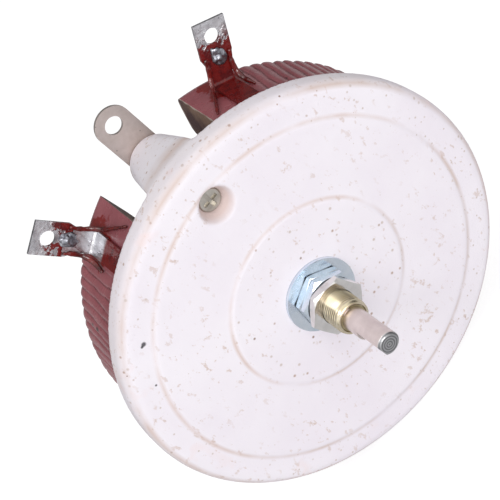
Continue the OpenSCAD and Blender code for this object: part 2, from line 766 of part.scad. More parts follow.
// The ceramic hub that carries the arm and keeps the shaft insulated from it
module hub() {
    color("ivory") difference() {
        rotate_extrude($fn = small_fn)
            polygon([[0, hub_front], [hub_r, hub_front], [hub_r, flange_front],
                     [hub_flange_d / 2, flange_front], [hub_flange_d / 2, flange_back],
                     [hub_r, flange_back], [hub_r, holder_back], [0, holder_back]]);
        translate([0, 0, holder_back - cut])
            cylinder(r = bore_r, h = hub_front - holder_back + 2 * cut, $fn = small_fn);
        translate([-hub_d, 0, flange_back - hub_pin_d * 2]) rotate([0, 90, 0])
            cylinder(d = hub_pin_d + fit_gap, h = 2 * hub_d, $fn = small_fn);
    }
}

module hub_pin() {
    color("gray") translate([-hub_r, 0, flange_back - hub_pin_d * 2]) rotate([0, 90, 0])
        cylinder(d = hub_pin_d, h = hub_d, $fn = small_fn);
}

// The turning ring that the spring presses on the collector, with a tab for the pigtail
module slip_ring() {
    color("goldenrod") difference() {
        union() {
            ring(slip_od / 2, hub_r + fit_gap, slip_back, slip_t);
            translate([-pigtail_d, -slip_od / 2 - pigtail_d, slip_back])
                cube([2 * pigtail_d, pigtail_d + buried, slip_t]);
        }
    }
}

module hub_spring() {
    segments = 20;
    count = spring_turns * segments;
    z_front = slip_back - spring_wire_d / 2 - fit_gap;
    z_back = flange_front + spring_wire_d / 2 + fit_gap;
    color("silver") tube([for (i = [0:count]) [spring_r * cos(360 * i / segments),
        spring_r * sin(360 * i / segments), z_front + (z_back - z_front) * i / count]],
        spring_wire_d / 2, 8, [0, 0, 1]);
}

module contact_arm() {
    tip_y = brush_r + brush_l / 2 + holder_t + buried;
    color("lightslategray") difference() {
        union() {
            translate([0, 0, arm_back]) cylinder(d = arm_root_w, h = arm_t, $fn = small_fn);
            translate([0, 0, arm_back]) linear_extrude(arm_t)
                polygon([[-arm_root_w / 2, 0], [arm_root_w / 2, 0],
                         [arm_tip_w / 2, -(brush_r - brush_l)], [arm_tip_w / 2, -tip_y],
                         [-arm_tip_w / 2, -tip_y], [-arm_tip_w / 2, -(brush_r - brush_l)]]);
        }
        translate([0, 0, arm_back - cut])
            cylinder(r = shaft_r + fit_gap, h = arm_t + 2 * cut, $fn = small_fn);
    }
}

// A folded channel under the arm that grips the brush on all four sides
module brush_holder() {
    depth = brush_h - brush_proud;
    color("goldenrod") difference() {
        translate([-brush_w / 2 - holder_t, -brush_r - brush_l / 2 - holder_t, holder_back])
            cube([brush_w + 2 * holder_t, brush_l + 2 * holder_t, depth + holder_t]);
        translate([-brush_w / 2 - fit_gap / 4, -brush_r - brush_l / 2 - fit_gap / 4, holder_back + holder_t])
            cube([brush_w + fit_gap / 2, brush_l + fit_gap / 2, depth + cut]);
    }
}

module brush() {
    z0 = holder_back + holder_t;
    bevel = step_h;
    color("dimgray") translate([0, -brush_r, 0]) rotate([90, 0, 0])
        translate([0, 0, -brush_l / 2]) linear_extrude(brush_l)
            polygon([[-brush_w / 2, z0], [brush_w / 2, z0], [brush_w / 2, brush_front - bevel],
                     [brush_w / 2 - bevel, brush_front], [bevel - brush_w / 2, brush_front],
                     [-brush_w / 2, brush_front - bevel]]);
}

// The braided lead from the slip ring to the contact arm, hanging in one loose bow
module pigtail() {
    r0 = slip_od / 2 + pigtail_d / 2;
    r1 = winding_ri - pigtail_d;
    z0 = slip_back - end_gap;
    z1 = holder_back + end_gap;
    bow = stop_arm_r - slip_od / 2;
    count = 14;
    function bezier(a, b, c, d, u) =
        pow(1 - u, 3) * a + 3 * pow(1 - u, 2) * u * b + 3 * (1 - u) * u * u * c + pow(u, 3) * d;
    color("peru") tube([for (i = [0:count])
        [0, -bezier(r0, r0, r1 + 0.1 * bow, r1, i / count),
         bezier(z0, z0 - 0.3 * bow, z1 + 0.9 * bow, z1, i / count)]],
        pigtail_d / 2, 8, [1, 0, 0]);
}

placed() base();
placed() core();
placed() enamel_coat();
placed() resistance_ribbon();
placed() core_cement();
placed() end_terminal_left();
placed() end_terminal_right();
placed() centre_terminal();
placed() collector_strip();
placed() terminal_screw();
placed() terminal_washer();
placed() terminal_nut();
placed() bushing();
placed() flat_washer();
placed() fixing_nut();
placed() lock_nut();
placed() lock_washer();
placed() panel_nut();
placed() stop_pins();
placed() shaft();
placed() front_clip();
placed() thrust_washer();
placed() hub();
placed() hub_pin();
placed() slip_ring();
placed() hub_spring();
placed() stop_arm();
placed() contact_arm();
placed() brush_holder();
placed() brush();
placed() pigtail();
placed() rear_washer();
placed() rear_clip();
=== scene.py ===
"""A wirewound rheostat: ceramic base, wound and enamelled core, bushing, shaft and contact arm.

All lengths are in metres. The shaft points to -Y, the boss of the centre terminal to +Z, and the
origin is where the shaft's axis crosses the middle of the base's front face.
"""
import math

import bmesh
import bpy
from mathutils import Matrix, Vector, noise


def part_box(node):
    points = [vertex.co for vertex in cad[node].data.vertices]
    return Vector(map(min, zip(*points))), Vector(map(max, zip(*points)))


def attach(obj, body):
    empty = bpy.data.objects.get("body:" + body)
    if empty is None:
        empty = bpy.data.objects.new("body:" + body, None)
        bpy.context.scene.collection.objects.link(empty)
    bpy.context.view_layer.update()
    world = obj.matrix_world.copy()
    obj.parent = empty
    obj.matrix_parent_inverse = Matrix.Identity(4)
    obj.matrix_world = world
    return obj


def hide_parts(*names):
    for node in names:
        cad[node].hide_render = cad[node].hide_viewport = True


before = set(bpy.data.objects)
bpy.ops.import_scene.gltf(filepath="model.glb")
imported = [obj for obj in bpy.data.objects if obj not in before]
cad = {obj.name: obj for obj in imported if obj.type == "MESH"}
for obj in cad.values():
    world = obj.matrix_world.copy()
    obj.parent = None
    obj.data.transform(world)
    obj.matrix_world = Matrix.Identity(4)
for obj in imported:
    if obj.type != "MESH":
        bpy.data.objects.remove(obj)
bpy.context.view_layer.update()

# ---- Camera -----------------------------------------------------------------------------------
# A long lens above and to the left of the shaft, held with the boss leaning to the upper left,
# close enough that the round base fills the frame.

camera_data = bpy.data.cameras.new("camera")
camera_data.sensor_width = 36.0
camera_data.lens = 119.9
camera = bpy.data.objects.new("camera", camera_data)
camera.location = (-0.01649, -0.32311, 0.28457)
camera.rotation_euler = [math.radians(a) for a in (39.0715, 36.6286, -38.6763)]
bpy.context.scene.collection.objects.link(camera)
bpy.context.scene.camera = camera
bpy.context.scene.view_settings.view_transform = "Standard"
bpy.context.view_layer.update()

# ---- Floor and light --------------------------------------------------------------------------
# A pale sheet under the rim, one broad soft lamp from above the camera's left shoulder, a weaker
# one from the right, and an even white surround that the metal can mirror.


def node(tree, kind, values=None, **settings):
    """One node, its settings, and its inputs: sockets are linked and everything else is set."""
    made = tree.nodes.new(kind)
    for name, value in settings.items():
        setattr(made, name, value)
    for name, value in (values or {}).items():
        if isinstance(value, bpy.types.NodeSocket):
            tree.links.new(value, made.inputs[name])
        else:
            made.inputs[name].default_value = value
    return made


def ramp(tree, value, low=0.0, high=1.0, first=0.0, last=1.0, **settings):
    """A node that takes a value from low..high to first..last and holds it there."""
    sockets = {"Value": value, "From Min": low, "From Max": high, "To Min": first, "To Max": last}
    return node(tree, "ShaderNodeMapRange", sockets, **settings)


def paint(red, green, blue):
    """A colour given as display values from 0 to 255, as the shader wants it."""
    channels = []
    for value in (red / 255, green / 255, blue / 255):
        channels.append(value / 12.92 if value <= 0.04045 else ((value + 0.055) / 1.055) ** 2.4)
    return (*channels, 1.0)


def empty_material(name):
    """A material with nothing in it but its output."""
    made = bpy.data.materials.new(name)
    made.use_nodes = True
    made.node_tree.nodes.clear()
    return made, made.node_tree, node(made.node_tree, "ShaderNodeOutputMaterial")


floor_level = -0.0571
floor_material, tree, output = empty_material("pale sheet")
path = node(tree, "ShaderNodeLightPath")
seen = node(
    tree,
    "ShaderNodeMath",
    {0: path.outputs["Is Camera Ray"], 1: path.outputs["Is Transmission Ray"]},
    operation="ADD",
    use_clamp=True,
)
matt = node(tree, "ShaderNodeBsdfDiffuse", {"Color": (0.62, 0.62, 0.63, 1.0)})
shadowed = node(tree, "ShaderNodeBsdfDiffuse", {"Color": (0.42, 0.42, 0.43, 1.0)})
glow = node(tree, "ShaderNodeEmission", {"Color": (1.0, 1.0, 1.0, 1.0), "Strength": 0.76})
lit = node(tree, "ShaderNodeAddShader", {0: shadowed.outputs[0], 1: glow.outputs[0]})
mix = node(tree, "ShaderNodeMixShader", {0: seen.outputs[0], 1: matt.outputs[0], 2: lit.outputs[0]})
tree.links.new(mix.outputs[0], output.inputs["Surface"])

mesh = bpy.data.meshes.new("floor")
mesh.from_pydata(
    [
        (-3, -3, floor_level), (3, -3, floor_level), (3, 3, floor_level), (-3, 3, floor_level)
    ], [], [(0, 1, 2, 3)]
)
floor = bpy.data.objects.new("floor", mesh)
bpy.context.scene.collection.objects.link(floor)
mesh.materials.append(floor_material)

world = bpy.data.worlds.new("surround")
bpy.context.scene.world = world
world.use_nodes = True
tree = world.node_tree
tree.nodes.clear()
output = node(tree, "ShaderNodeOutputWorld")
path = node(tree, "ShaderNodeLightPath")
heading = node(tree, "ShaderNodeTexCoord")
facing = node(
    tree, "ShaderNodeVectorMath", {
        0: heading.outputs["Generated"], 1: (-0.25, -0.62, 0.74)
    }, operation="DOT_PRODUCT"
)
sky = ramp(tree, facing.outputs["Value"], 0.05, 0.55, 0.16, 1.15)
seen = node(
    tree,
    "ShaderNodeMath",
    {0: path.outputs["Is Glossy Ray"], 1: sky.outputs[0]},
    operation="MULTIPLY",
)
plain = node(
    tree, "ShaderNodeMath", {0: 1.0, 1: path.outputs["Is Glossy Ray"]}, operation="SUBTRACT"
)
even = node(tree, "ShaderNodeMath", {0: plain.outputs[0], 1: 0.56}, operation="MULTIPLY")
strength = node(tree, "ShaderNodeMath", {0: seen.outputs[0], 1: even.outputs[0]}, operation="ADD")
strength = node(
    tree,
    "ShaderNodeMath",
    {0: strength.outputs[0], 1: path.outputs["Is Camera Ray"]},
    operation="MAXIMUM",
)
back = node(
    tree, "ShaderNodeBackground", {"Color": (1.0, 1.0, 1.0, 1.0), "Strength": strength.outputs[0]}
)
tree.links.new(back.outputs[0], output.inputs["Surface"])

for name, place, size, power in (
    ("key lamp", Vector((-0.02, -1.05, 0.48)), 0.6, 6.6),
    ("top lamp", Vector((-0.45, -0.35, 0.90)), 0.35, 2.2),
):
    lamp_data = bpy.data.lights.new(name, "AREA")
    lamp_data.size = size
    lamp_data.energy = power
    lamp = bpy.data.objects.new(name, lamp_data)
    lamp.location = place
    lamp.rotation_euler = place.to_track_quat("Z", "Y").to_euler()
    bpy.context.scene.collection.objects.link(lamp)

# ---- Core -------------------------------------------------------------------------------------
# The C-shaped core is pressed and fired ceramic, left rough, because the enamel has to key to it.
# Only its cut faces and a little of its back show once it is wound.


def mix_colour(tree, amount, first, second):
    """A colour that goes from the first to the second as the amount goes from 0 to 1."""
    return node(
        tree, "ShaderNodeMix", {
            "Factor": amount, 6: first, 7: second
        }, data_type="RGBA", clamp_factor=True
    ).outputs[2]


def group_of(name, inputs, outputs):
    """A shader group with its inputs (name, default) and outputs (name, kind), ready to fill."""
    made = bpy.data.node_groups.new(name, "ShaderNodeTree")
    for label, value in inputs:
        kind = "NodeSocketVector" if isinstance(value, tuple) else "NodeSocketFloat"
        made.interface.new_socket(label, in_out="INPUT", socket_type=kind).default_value = value
    for label, kind in outputs:
        made.interface.new_socket(label, in_out="OUTPUT", socket_type=kind)
    return made, node(made, "NodeGroupInput"), node(made, "NodeGroupOutput")


# Specks: round spots of one size, of which only a share of the cells holds one
specks, given, gives = group_of(
    "specks", [
        ("Scale", 400.0), ("Size", 0.2), ("Share", 0.2), ("Seed", 0.0)
    ], [("Mask", "NodeSocketFloat")]
)
where = node(specks, "ShaderNodeTexCoord")
shifted = node(
    specks,
    "ShaderNodeVectorMath",
    {0: where.outputs["Object"], 1: given.outputs["Seed"]},
    operation="ADD",
)
cells = node(
    specks, "ShaderNodeTexVoronoi", {"Vector": shifted.outputs[0], "Scale": given.outputs["Scale"]}
)
chance = node(specks, "ShaderNodeSeparateColor", {0: cells.outputs["Color"]})
chosen = node(
    specks,
    "ShaderNodeMath",
    {0: chance.outputs[0], 1: given.outputs["Share"]},
    operation="LESS_THAN",
)
own = node(
    specks, "ShaderNodeMath", {0: chance.outputs[1], 1: given.outputs["Size"]}, operation="MULTIPLY"
)
inner = node(specks, "ShaderNodeMath", {0: own.outputs[0], 1: 0.4}, operation="MULTIPLY")
spot = ramp(specks, cells.outputs["Distance"], inner.outputs[0], own.outputs[0], 1.0, 0.0)
mask = node(
    specks, "ShaderNodeMath", {0: spot.outputs[0], 1: chosen.outputs[0]}, operation="MULTIPLY"
)
specks.links.new(mask.outputs[0], gives.inputs["Mask"])

# Cloud: soft blotches, stretched as the Stretch vector says, from 0 to 1 around a threshold
cloud, given, gives = group_of(
    "cloud",
    [
        ("Scale", 60.0),
        ("Detail", 3.0),
        ("Low", 0.4),
        ("High", 0.6),
        ("Stretch", (1.0, 1.0, 1.0)),
        ("Seed", 0.0),
    ],
    [("Mask", "NodeSocketFloat")],
)
where = node(cloud, "ShaderNodeTexCoord")
stretched = node(
    cloud,
    "ShaderNodeVectorMath",
    {0: where.outputs["Object"], 1: given.outputs["Stretch"]},
    operation="MULTIPLY",
)
shifted = node(
    cloud,
    "ShaderNodeVectorMath",
    {0: stretched.outputs[0], 1: given.outputs["Seed"]},
    operation="ADD",
)
drift = node(
    cloud,
    "ShaderNodeTexNoise",
    {
        "Vector": shifted.outputs[0],
        "Scale": given.outputs["Scale"],
        "Detail": given.outputs["Detail"],
        "Roughness": 0.6,
    },
)
level = ramp(cloud, drift.outputs["Fac"], given.outputs["Low"], given.outputs["High"])
cloud.links.new(level.outputs[0], gives.inputs["Mask"])


def effect(tree, group, **values):
    """A group placed in a material with its own values, given by socket name."""
    made = node(tree, "ShaderNodeGroup", node_tree=group)
    for name, value in values.items():
        made.inputs[name].default_value = value
    return made.outputs[0]


def principled(tree, output, values):
    """The material's shader, joined to its output."""
    shader = node(tree, "ShaderNodeBsdfPrincipled", values)
    tree.links.new(shader.outputs[0], output.inputs["Surface"])
    return shader


def bump(tree, height, depth, after=None):
    """A bump of a given depth in metres from a height of 0 to 1."""
    values = {"Height": height, "Distance": depth, "Strength": 1.0}
    if after is not None:
        values["Normal"] = after
    return node(tree, "ShaderNodeBump", values).outputs[0]


def ceramic(name, body, shade, speck, speck_share):
    """Unglazed fired ceramic: chalky, faintly cloudy, with fine specks and pinholes."""
    made, tree, output = empty_material(name)
    colour = mix_colour(tree, effect(tree, cloud, Scale=45.0, Low=0.35, High=0.75), body, shade)
    colour = mix_colour(
        tree, effect(tree, specks, Scale=620.0, Size=0.34, Share=speck_share), colour, speck
    )
    colour = mix_colour(
        tree,
        effect(tree, specks, Scale=260.0, Size=0.20, Share=speck_share * 0.4, Seed=3.0),
        colour,
        speck,
    )
    grain = effect(tree, cloud, Scale=1900.0, Detail=2.0, Low=0.2, High=0.8)
    swell = effect(tree, cloud, Scale=120.0, Detail=2.0, Low=0.2, High=0.8)
    normal = bump(tree, grain, 0.00003, bump(tree, swell, 0.00006))
    principled(
        tree,
        output,
        {"Base Color": colour, "Roughness": 0.72, "Specular IOR Level": 0.3, "Normal": normal},
    )
    return made


def dress(name, material):
    """Puts a material on a solid as it came."""
    cad[name].material_slots[0].material = material


dress(
    "core",
    ceramic("core ceramic", paint(214, 204, 196), paint(190, 176, 166), paint(120, 96, 88), 0.3),
)

# ---- Winding ----------------------------------------------------------------------------------
# Flat resistance ribbon wound edge by edge on the core and buried in red-brown vitreous enamel,
# which is fired on, runs smooth over both ends, and is ground off the back for the brush.

winding_outer, winding_inner = 0.0533, 0.0401
low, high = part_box("resistance_ribbon")
winding_front, winding_back = low.y, high.y
winding_corner = 0.0034
rib_height = 0.00062
turn_count = 82
turns_gap = math.radians(68.0)
lean_left, lean_right = math.radians(5.7), math.radians(17.5)
gap_half = math.radians(17.5)
lug_angle = math.radians(28.8)

rib_tree = bpy.data.node_groups.new("ribbed winding", "GeometryNodeTree")
for label, value in (
    ("Outer radius", winding_outer),
    ("Inner radius", winding_inner),
    ("Front", winding_front),
    ("Back", winding_back),
    ("Corner", winding_corner),
    ("Rib height", rib_height),
    ("Turns", float(turn_count)),
    ("Turns gap", turns_gap),
    ("Sweep from", math.radians(6.0)),
):
    rib_tree.interface.new_socket(
        label, in_out="INPUT", socket_type="NodeSocketFloat"
    ).default_value = value
rib_tree.interface.new_socket("Material", in_out="INPUT", socket_type="NodeSocketMaterial")
rib_tree.interface.new_socket("Mesh", in_out="OUTPUT", socket_type="NodeSocketGeometry")
given = node(rib_tree, "NodeGroupInput").outputs
gives = node(rib_tree, "NodeGroupOutput")


def calc(tree, operation, *values):
    """A Math node's result."""
    return node(tree, "ShaderNodeMath", dict(enumerate(values)), operation=operation).outputs[0]


def section_at(tree, shrink, factor):
    """A point on the winding's rounded section, shrunk towards the core by a given amount."""
    twice = calc(tree, "MULTIPLY", shrink, 2.0)
    width = calc(
        tree,
        "SUBTRACT",
        calc(tree, "SUBTRACT", given["Outer radius"], given["Inner radius"]),
        twice,
    )
    height = calc(tree, "SUBTRACT", calc(tree, "SUBTRACT", given["Back"], given["Front"]), twice)
    loop = node(tree, "GeometryNodeCurvePrimitiveQuadrilateral", {"Width": width, "Height": height})
    corner = calc(tree, "SUBTRACT", given["Corner"], shrink)
    rounded = node(
        tree,
        "GeometryNodeFilletCurve",
        {"Curve": loop.outputs[0], "Radius": corner, "Count": 8},
        mode="POLY",
    )
    point = node(
        tree,
        "GeometryNodeSampleCurve",
        {"Curves": rounded.outputs[0], "Factor": factor},
        mode="FACTOR",
    )
    return point.outputs["Position"]


rows_per_turn = 10
sheet = node(
    rib_tree,
    "GeometryNodeMeshGrid",
    {
        "Size X": 1.0,
        "Size Y": 1.0,
        "Vertices X": 61,
        "Vertices Y": int(turn_count * rows_per_turn * 348 / 292),
    },
)
place = node(
    rib_tree, "ShaderNodeSeparateXYZ", {0: node(rib_tree, "GeometryNodeInputPosition").outputs[0]}
)
around = calc(rib_tree, "ADD", place.outputs["X"], 0.5)
along = calc(rib_tree, "ADD", place.outputs["Y"], 0.5)
sweep = calc(
    rib_tree, "SUBTRACT", 2 * math.pi, calc(rib_tree, "MULTIPLY", given["Sweep from"], 2.0)
)
turned = calc(rib_tree, "ADD", given["Sweep from"], calc(rib_tree, "MULTIPLY", along, sweep))
start = calc(rib_tree, "MULTIPLY", given["Turns gap"], 0.5)
wound = calc(rib_tree, "SUBTRACT", 2 * math.pi, given["Turns gap"])
progress = calc(rib_tree, "DIVIDE", calc(rib_tree, "SUBTRACT", turned, start), wound)
turn = calc(rib_tree, "SUBTRACT", calc(rib_tree, "MULTIPLY", progress, given["Turns"]), around)
outside = section_at(rib_tree, 0.00004, around)
rim_place = node(rib_tree, "ShaderNodeSeparateXYZ", {0: outside})
spot = node(
    rib_tree,
    "ShaderNodeCombineXYZ",
    {
        "X": calc(rib_tree, "MULTIPLY", rim_place.outputs["X"], 110.0),
        "Y": calc(rib_tree, "MULTIPLY", rim_place.outputs["Y"], 110.0),
        "Z": calc(rib_tree, "MULTIPLY", progress, 64.0),
    },
)
waver = node(
    rib_tree, "ShaderNodeTexNoise", {"Vector": spot.outputs[0], "Scale": 0.8, "Detail": 2.0}
)
unsteady = calc(rib_tree, "MULTIPLY", calc(rib_tree, "SUBTRACT", waver.outputs["Fac"], 0.5), 0.9)
phase = calc(rib_tree, "FRACT", calc(rib_tree, "ADD", turn, unsteady))
ledge = node(rib_tree, "ShaderNodeFloatCurve", {"Value": phase})
points = ledge.mapping.curves[0].points
points[0].location, points[1].location = (0.0, 0.0), (1.0, 0.0)
for x, y in ((0.1, 0.62), (0.26, 0.97), (0.55, 0.92), (0.84, 0.52)):
    points.new(x, y)
ledge.mapping.update()
uneven = calc(rib_tree, "ADD", 0.72, calc(rib_tree, "MULTIPLY", waver.outputs["Fac"], 0.5))
within = calc(rib_tree, "MINIMUM", progress, calc(rib_tree, "SUBTRACT", 1.0, progress))
fade = ramp(rib_tree, within, -0.004, 0.006, interpolation_type="SMOOTHSTEP")
rib = calc(rib_tree, "MULTIPLY", ledge.outputs[0], uneven)
flat = calc(rib_tree, "MULTIPLY", calc(rib_tree, "SUBTRACT", 1.0, fade.outputs[0]), 0.8)
rise = calc(rib_tree, "ADD", calc(rib_tree, "MULTIPLY", rib, fade.outputs[0]), flat)
inside = section_at(rib_tree, calc(rib_tree, "ADD", given["Rib height"], 0.00004), around)
surface = node(
    rib_tree, "ShaderNodeMix", {"Factor": rise, 4: inside, 5: outside}, data_type="VECTOR"
).outputs[1]
across = node(rib_tree, "ShaderNodeSeparateXYZ", {0: surface})
middle_r = calc(
    rib_tree, "MULTIPLY", calc(rib_tree, "ADD", given["Outer radius"], given["Inner radius"]), 0.5
)
middle_y = calc(rib_tree, "MULTIPLY", calc(rib_tree, "ADD", given["Front"], given["Back"]), 0.5)
radius = calc(rib_tree, "ADD", middle_r, across.outputs["X"])
final = node(
    rib_tree,
    "ShaderNodeCombineXYZ",
    {
        "X": calc(rib_tree, "MULTIPLY", radius, calc(rib_tree, "SINE", turned)),
        "Y": calc(rib_tree, "ADD", middle_y, across.outputs["Y"]),
        "Z": calc(rib_tree, "MULTIPLY", radius, calc(rib_tree, "COSINE", turned)),
    },
)
stored = node(
    rib_tree,
    "GeometryNodeStoreNamedAttribute",
    {"Geometry": sheet.outputs["Mesh"], "Name": "rise", "Value": rise},
    data_type="FLOAT",
    domain="POINT",
)
phased = node(
    rib_tree,
    "GeometryNodeStoreNamedAttribute",
    {
        "Geometry": stored.outputs[0],
        "Name": "phase",
        "Value": calc(rib_tree, "MULTIPLY", phase, fade.outputs[0]),
    },
    data_type="FLOAT",
    domain="POINT",
)
moved = node(
    rib_tree,
    "GeometryNodeSetPosition",
    {"Geometry": phased.outputs[0], "Position": final.outputs[0]},
)
welded = node(
    rib_tree, "GeometryNodeMergeByDistance", {"Geometry": moved.outputs[0], "Distance": 0.000002}
)
smooth = node(rib_tree, "GeometryNodeSetShadeSmooth", {"Geometry": welded.outputs[0]})
real = node(rib_tree, "GeometryNodeRealizeInstances", {"Geometry": smooth.outputs[0]})
dressed = node(
    rib_tree,
    "GeometryNodeSetMaterial",
    {"Geometry": real.outputs[0], "Material": given["Material"]},
)
rib_tree.links.new(dressed.outputs[0], gives.inputs[0])


def vitreous_enamel():
    """Red-brown enamel: glassy, with painted shade in the valleys, ground to bare ribbon on the back.
    """
    made, tree, output = empty_material("vitreous enamel")
    where = node(tree, "ShaderNodeTexCoord")
    axes = node(tree, "ShaderNodeSeparateXYZ", {0: where.outputs["Object"]})
    rise = node(tree, "ShaderNodeAttribute", attribute_name="rise").outputs["Fac"]
    phase = node(tree, "ShaderNodeAttribute", attribute_name="phase").outputs["Fac"]
    colour = mix_colour(
        tree,
        effect(tree, cloud, Scale=90.0, Low=0.3, High=0.7),
        paint(162, 94, 100),
        paint(138, 72, 79),
    )
    # Painted shade: the valleys between the ribs are painted darker.
    painted_valley_shade = ramp(tree, rise, 0.0, 0.5, 1.0, 0.0)
    colour = mix_colour(
        tree, calc(tree, "MULTIPLY", painted_valley_shade.outputs[0], 0.8), colour, paint(62, 26, 30)
    )
    colour = mix_colour(
        tree,
        effect(tree, specks, Scale=300.0, Size=0.3, Share=0.12, Seed=1.0),
        colour,
        paint(48, 26, 26),
    )
    # The ground track on the back: bare ribbon in the middle, broken dark edge round it
    flat = effect(tree, cloud, Scale=240.0, Low=0.3, High=0.7, Seed=5.0)
    edge = calc(tree, "ADD", axes.outputs["Y"], calc(tree, "MULTIPLY", flat, 0.0006))
    worn = ramp(tree, edge, winding_back - 0.0021, winding_back - 0.0013)
    track = ramp(tree, edge, winding_back - 0.0006, winding_back - 0.0003)
    on_rib = ramp(tree, rise, 0.35, 0.6)
    crest = ramp(tree, phase, 0.01, 0.03)
    bare = calc(
        tree,
        "MULTIPLY",
        calc(tree, "MULTIPLY", track.outputs[0], on_rib.outputs[0]),
        crest.outputs[0],
    )
    dark = calc(tree, "MULTIPLY", calc(tree, "MULTIPLY", worn.outputs[0], crest.outputs[0]), 0.75)
    colour = mix_colour(tree, dark, colour, paint(66, 44, 44))
    colour = mix_colour(tree, bare, colour, paint(150, 143, 138))
    # Red lacquer that ran down the wall from each terminal, narrowing towards the base
    spill = effect(tree, cloud, Scale=210.0, Low=0.3, High=0.7, Seed=13.0)
    for side in (-1, 1):
        turned = node(
            tree, "ShaderNodeMapping", {
                "Vector": where.outputs["Object"], "Rotation": (0.0, -side * lug_angle, 0.0)
            }
        )
        off = node(tree, "ShaderNodeSeparateXYZ", {0: turned.outputs[0]})
        half = ramp(tree, off.outputs["Y"], 0.0085, 0.0235, -0.002, 0.0058)
        reach = calc(tree, "SUBTRACT", half.outputs[0], calc(tree, "ABSOLUTE", off.outputs["X"]))
        reach = calc(
            tree, "ADD", reach, calc(tree, "MULTIPLY", calc(tree, "SUBTRACT", spill, 0.5), 0.005)
        )
        wet = ramp(tree, reach, -0.0001, 0.0004)
        outside = ramp(tree, off.outputs["Z"], 0.0505, 0.0512)
        wet = calc(tree, "MULTIPLY", wet.outputs[0], outside.outputs[0])
        colour = mix_colour(tree, wet, colour, paint(124, 22, 20))
    swell = effect(tree, cloud, Scale=260.0, Detail=2.0, Low=0.2, High=0.8)
    pores = effect(tree, specks, Scale=700.0, Size=0.3, Share=0.15, Seed=2.0)
    normal = bump(tree, pores, -0.00003, bump(tree, swell, 0.00012))
    gloss = ramp(tree, swell, first=0.20, last=0.36)
    principled(
        tree,
        output,
        {
            "Base Color": colour,
            "Metallic": bare,
            "Roughness": gloss.outputs[0],
            "Specular IOR Level": 0.8,
            "Normal": normal,
        },
    )
    return made


enamel = vitreous_enamel()


def grown(name, tree, material):
    """The plain mesh that a geometry tree makes, with the tree's default sizes."""
    seed = bpy.data.objects.new(name, bpy.data.meshes.new(name))
    bpy.context.scene.collection.objects.link(seed)
    grower = seed.modifiers.new("grow", "NODES")
    grower.node_group = tree
    for socket in tree.interface.items_tree:
        if socket.item_type == "SOCKET" and socket.in_out == "INPUT":
            grower[
                socket.identifier
            ] = material if socket.name == "Material" else socket.default_value
    bpy.context.view_layer.update()
    seen_mesh = seed.evaluated_get(bpy.context.evaluated_depsgraph_get())
    made = bpy.data.meshes.new_from_object(seen_mesh)
    seed.modifiers.remove(grower)
    seed.data = made
    made.name = name
    return seed


def point_outwards(mesh):
    """Welds a mesh and turns all its faces outwards."""
    work = bmesh.new()
    work.from_mesh(mesh)
    bmesh.ops.remove_doubles(work, verts=work.verts, dist=0.000002)
    bmesh.ops.recalc_face_normals(work, faces=work.faces)
    work.to_mesh(mesh)
    work.free()


winding = grown("winding", rib_tree, enamel)
winding.data.materials.clear()
winding.data.materials.append(enamel)
work = bmesh.new()
work.from_mesh(winding.data)
for face in work.faces:
    face.material_index = 0
edge_x = winding_outer * math.sin(gap_half)
edge_z = winding_outer * math.cos(gap_half)
for side, lean in ((-1, lean_left), (1, lean_right)):
    outward = Vector((-side * math.cos(lean), 0.0, math.sin(lean)))
    everything = [*work.verts, *work.edges, *work.faces]
    foot = Vector((side * (edge_x - 0.00006), 0.0, edge_z))
    near = [
        part
        for part in everything
        if all(
            corner.co.z > 0.0 and corner.co.x * side > 0.0
            for corner in ([part] if isinstance(part, bmesh.types.BMVert) else part.verts)
        )
    ]
    result = bmesh.ops.bisect_plane(
        work, geom=near, dist=0.000001, plane_co=foot, plane_no=outward, clear_outer=True
    )
    rim = [part for part in result["geom_cut"] if isinstance(part, bmesh.types.BMEdge)]
    capped = bmesh.ops.edgenet_fill(work, edges=rim)
    for face in capped["faces"]:
        face.material_index = 1
        face.smooth = False
bmesh.ops.recalc_face_normals(work, faces=work.faces)
work.to_mesh(winding.data)
work.free()


def cut_end():
    """The cut face of the wound core: dirty pale ceramic inside a rim of dark enamel."""
    made, tree, output = empty_material("cut end")
    where = node(tree, "ShaderNodeTexCoord")
    axes = node(tree, "ShaderNodeSeparateXYZ", {0: where.outputs["Object"]})
    flat = node(tree, "ShaderNodeCombineXYZ", {"X": axes.outputs["X"], "Y": axes.outputs["Z"]})
    radius = node(
        tree, "ShaderNodeVectorMath", {0: flat.outputs[0]}, operation="LENGTH"
    ).outputs["Value"]
    middle_r, half_r = (winding_outer + winding_inner) / 2, (winding_outer - winding_inner) / 2
    middle_y, half_y = (winding_front + winding_back) / 2, (winding_back - winding_front) / 2
    in_r = calc(
        tree, "SUBTRACT", half_r, calc(tree, "ABSOLUTE", calc(tree, "SUBTRACT", radius, middle_r))
    )
    in_y = calc(
        tree,
        "SUBTRACT",
        half_y,
        calc(tree, "ABSOLUTE", calc(tree, "SUBTRACT", axes.outputs["Y"], middle_y)),
    )
    depth = calc(tree, "MINIMUM", in_r, in_y)
    ragged = effect(tree, cloud, Scale=420.0, Low=0.3, High=0.7)
    depth = calc(tree, "ADD", depth, calc(tree, "MULTIPLY", ragged, -0.0009))
    deep = ramp(tree, depth, -0.0001, 0.0005)
    smudge = effect(tree, cloud, Scale=110.0, Low=0.40, High=0.62, Seed=2.0)
    ground = mix_colour(tree, smudge, paint(122, 96, 78), paint(70, 42, 40))
    colour = mix_colour(tree, deep.outputs[0], paint(186, 170, 158), ground)
    normal = bump(tree, effect(tree, cloud, Scale=900.0, Low=0.2, High=0.8), 0.00012)
    principled(tree, output, {"Base Color": colour, "Roughness": 0.7, "Normal": normal})
    return made


winding.data.materials.append(cut_end())
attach(winding, "stator")
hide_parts("resistance_ribbon", "enamel_coat")

# ---- Cement -----------------------------------------------------------------------------------
# A thin bed of pale refractory cement holds the wound core to the base. It is trowelled in and
# squeezes out a little past the winding on both sides.

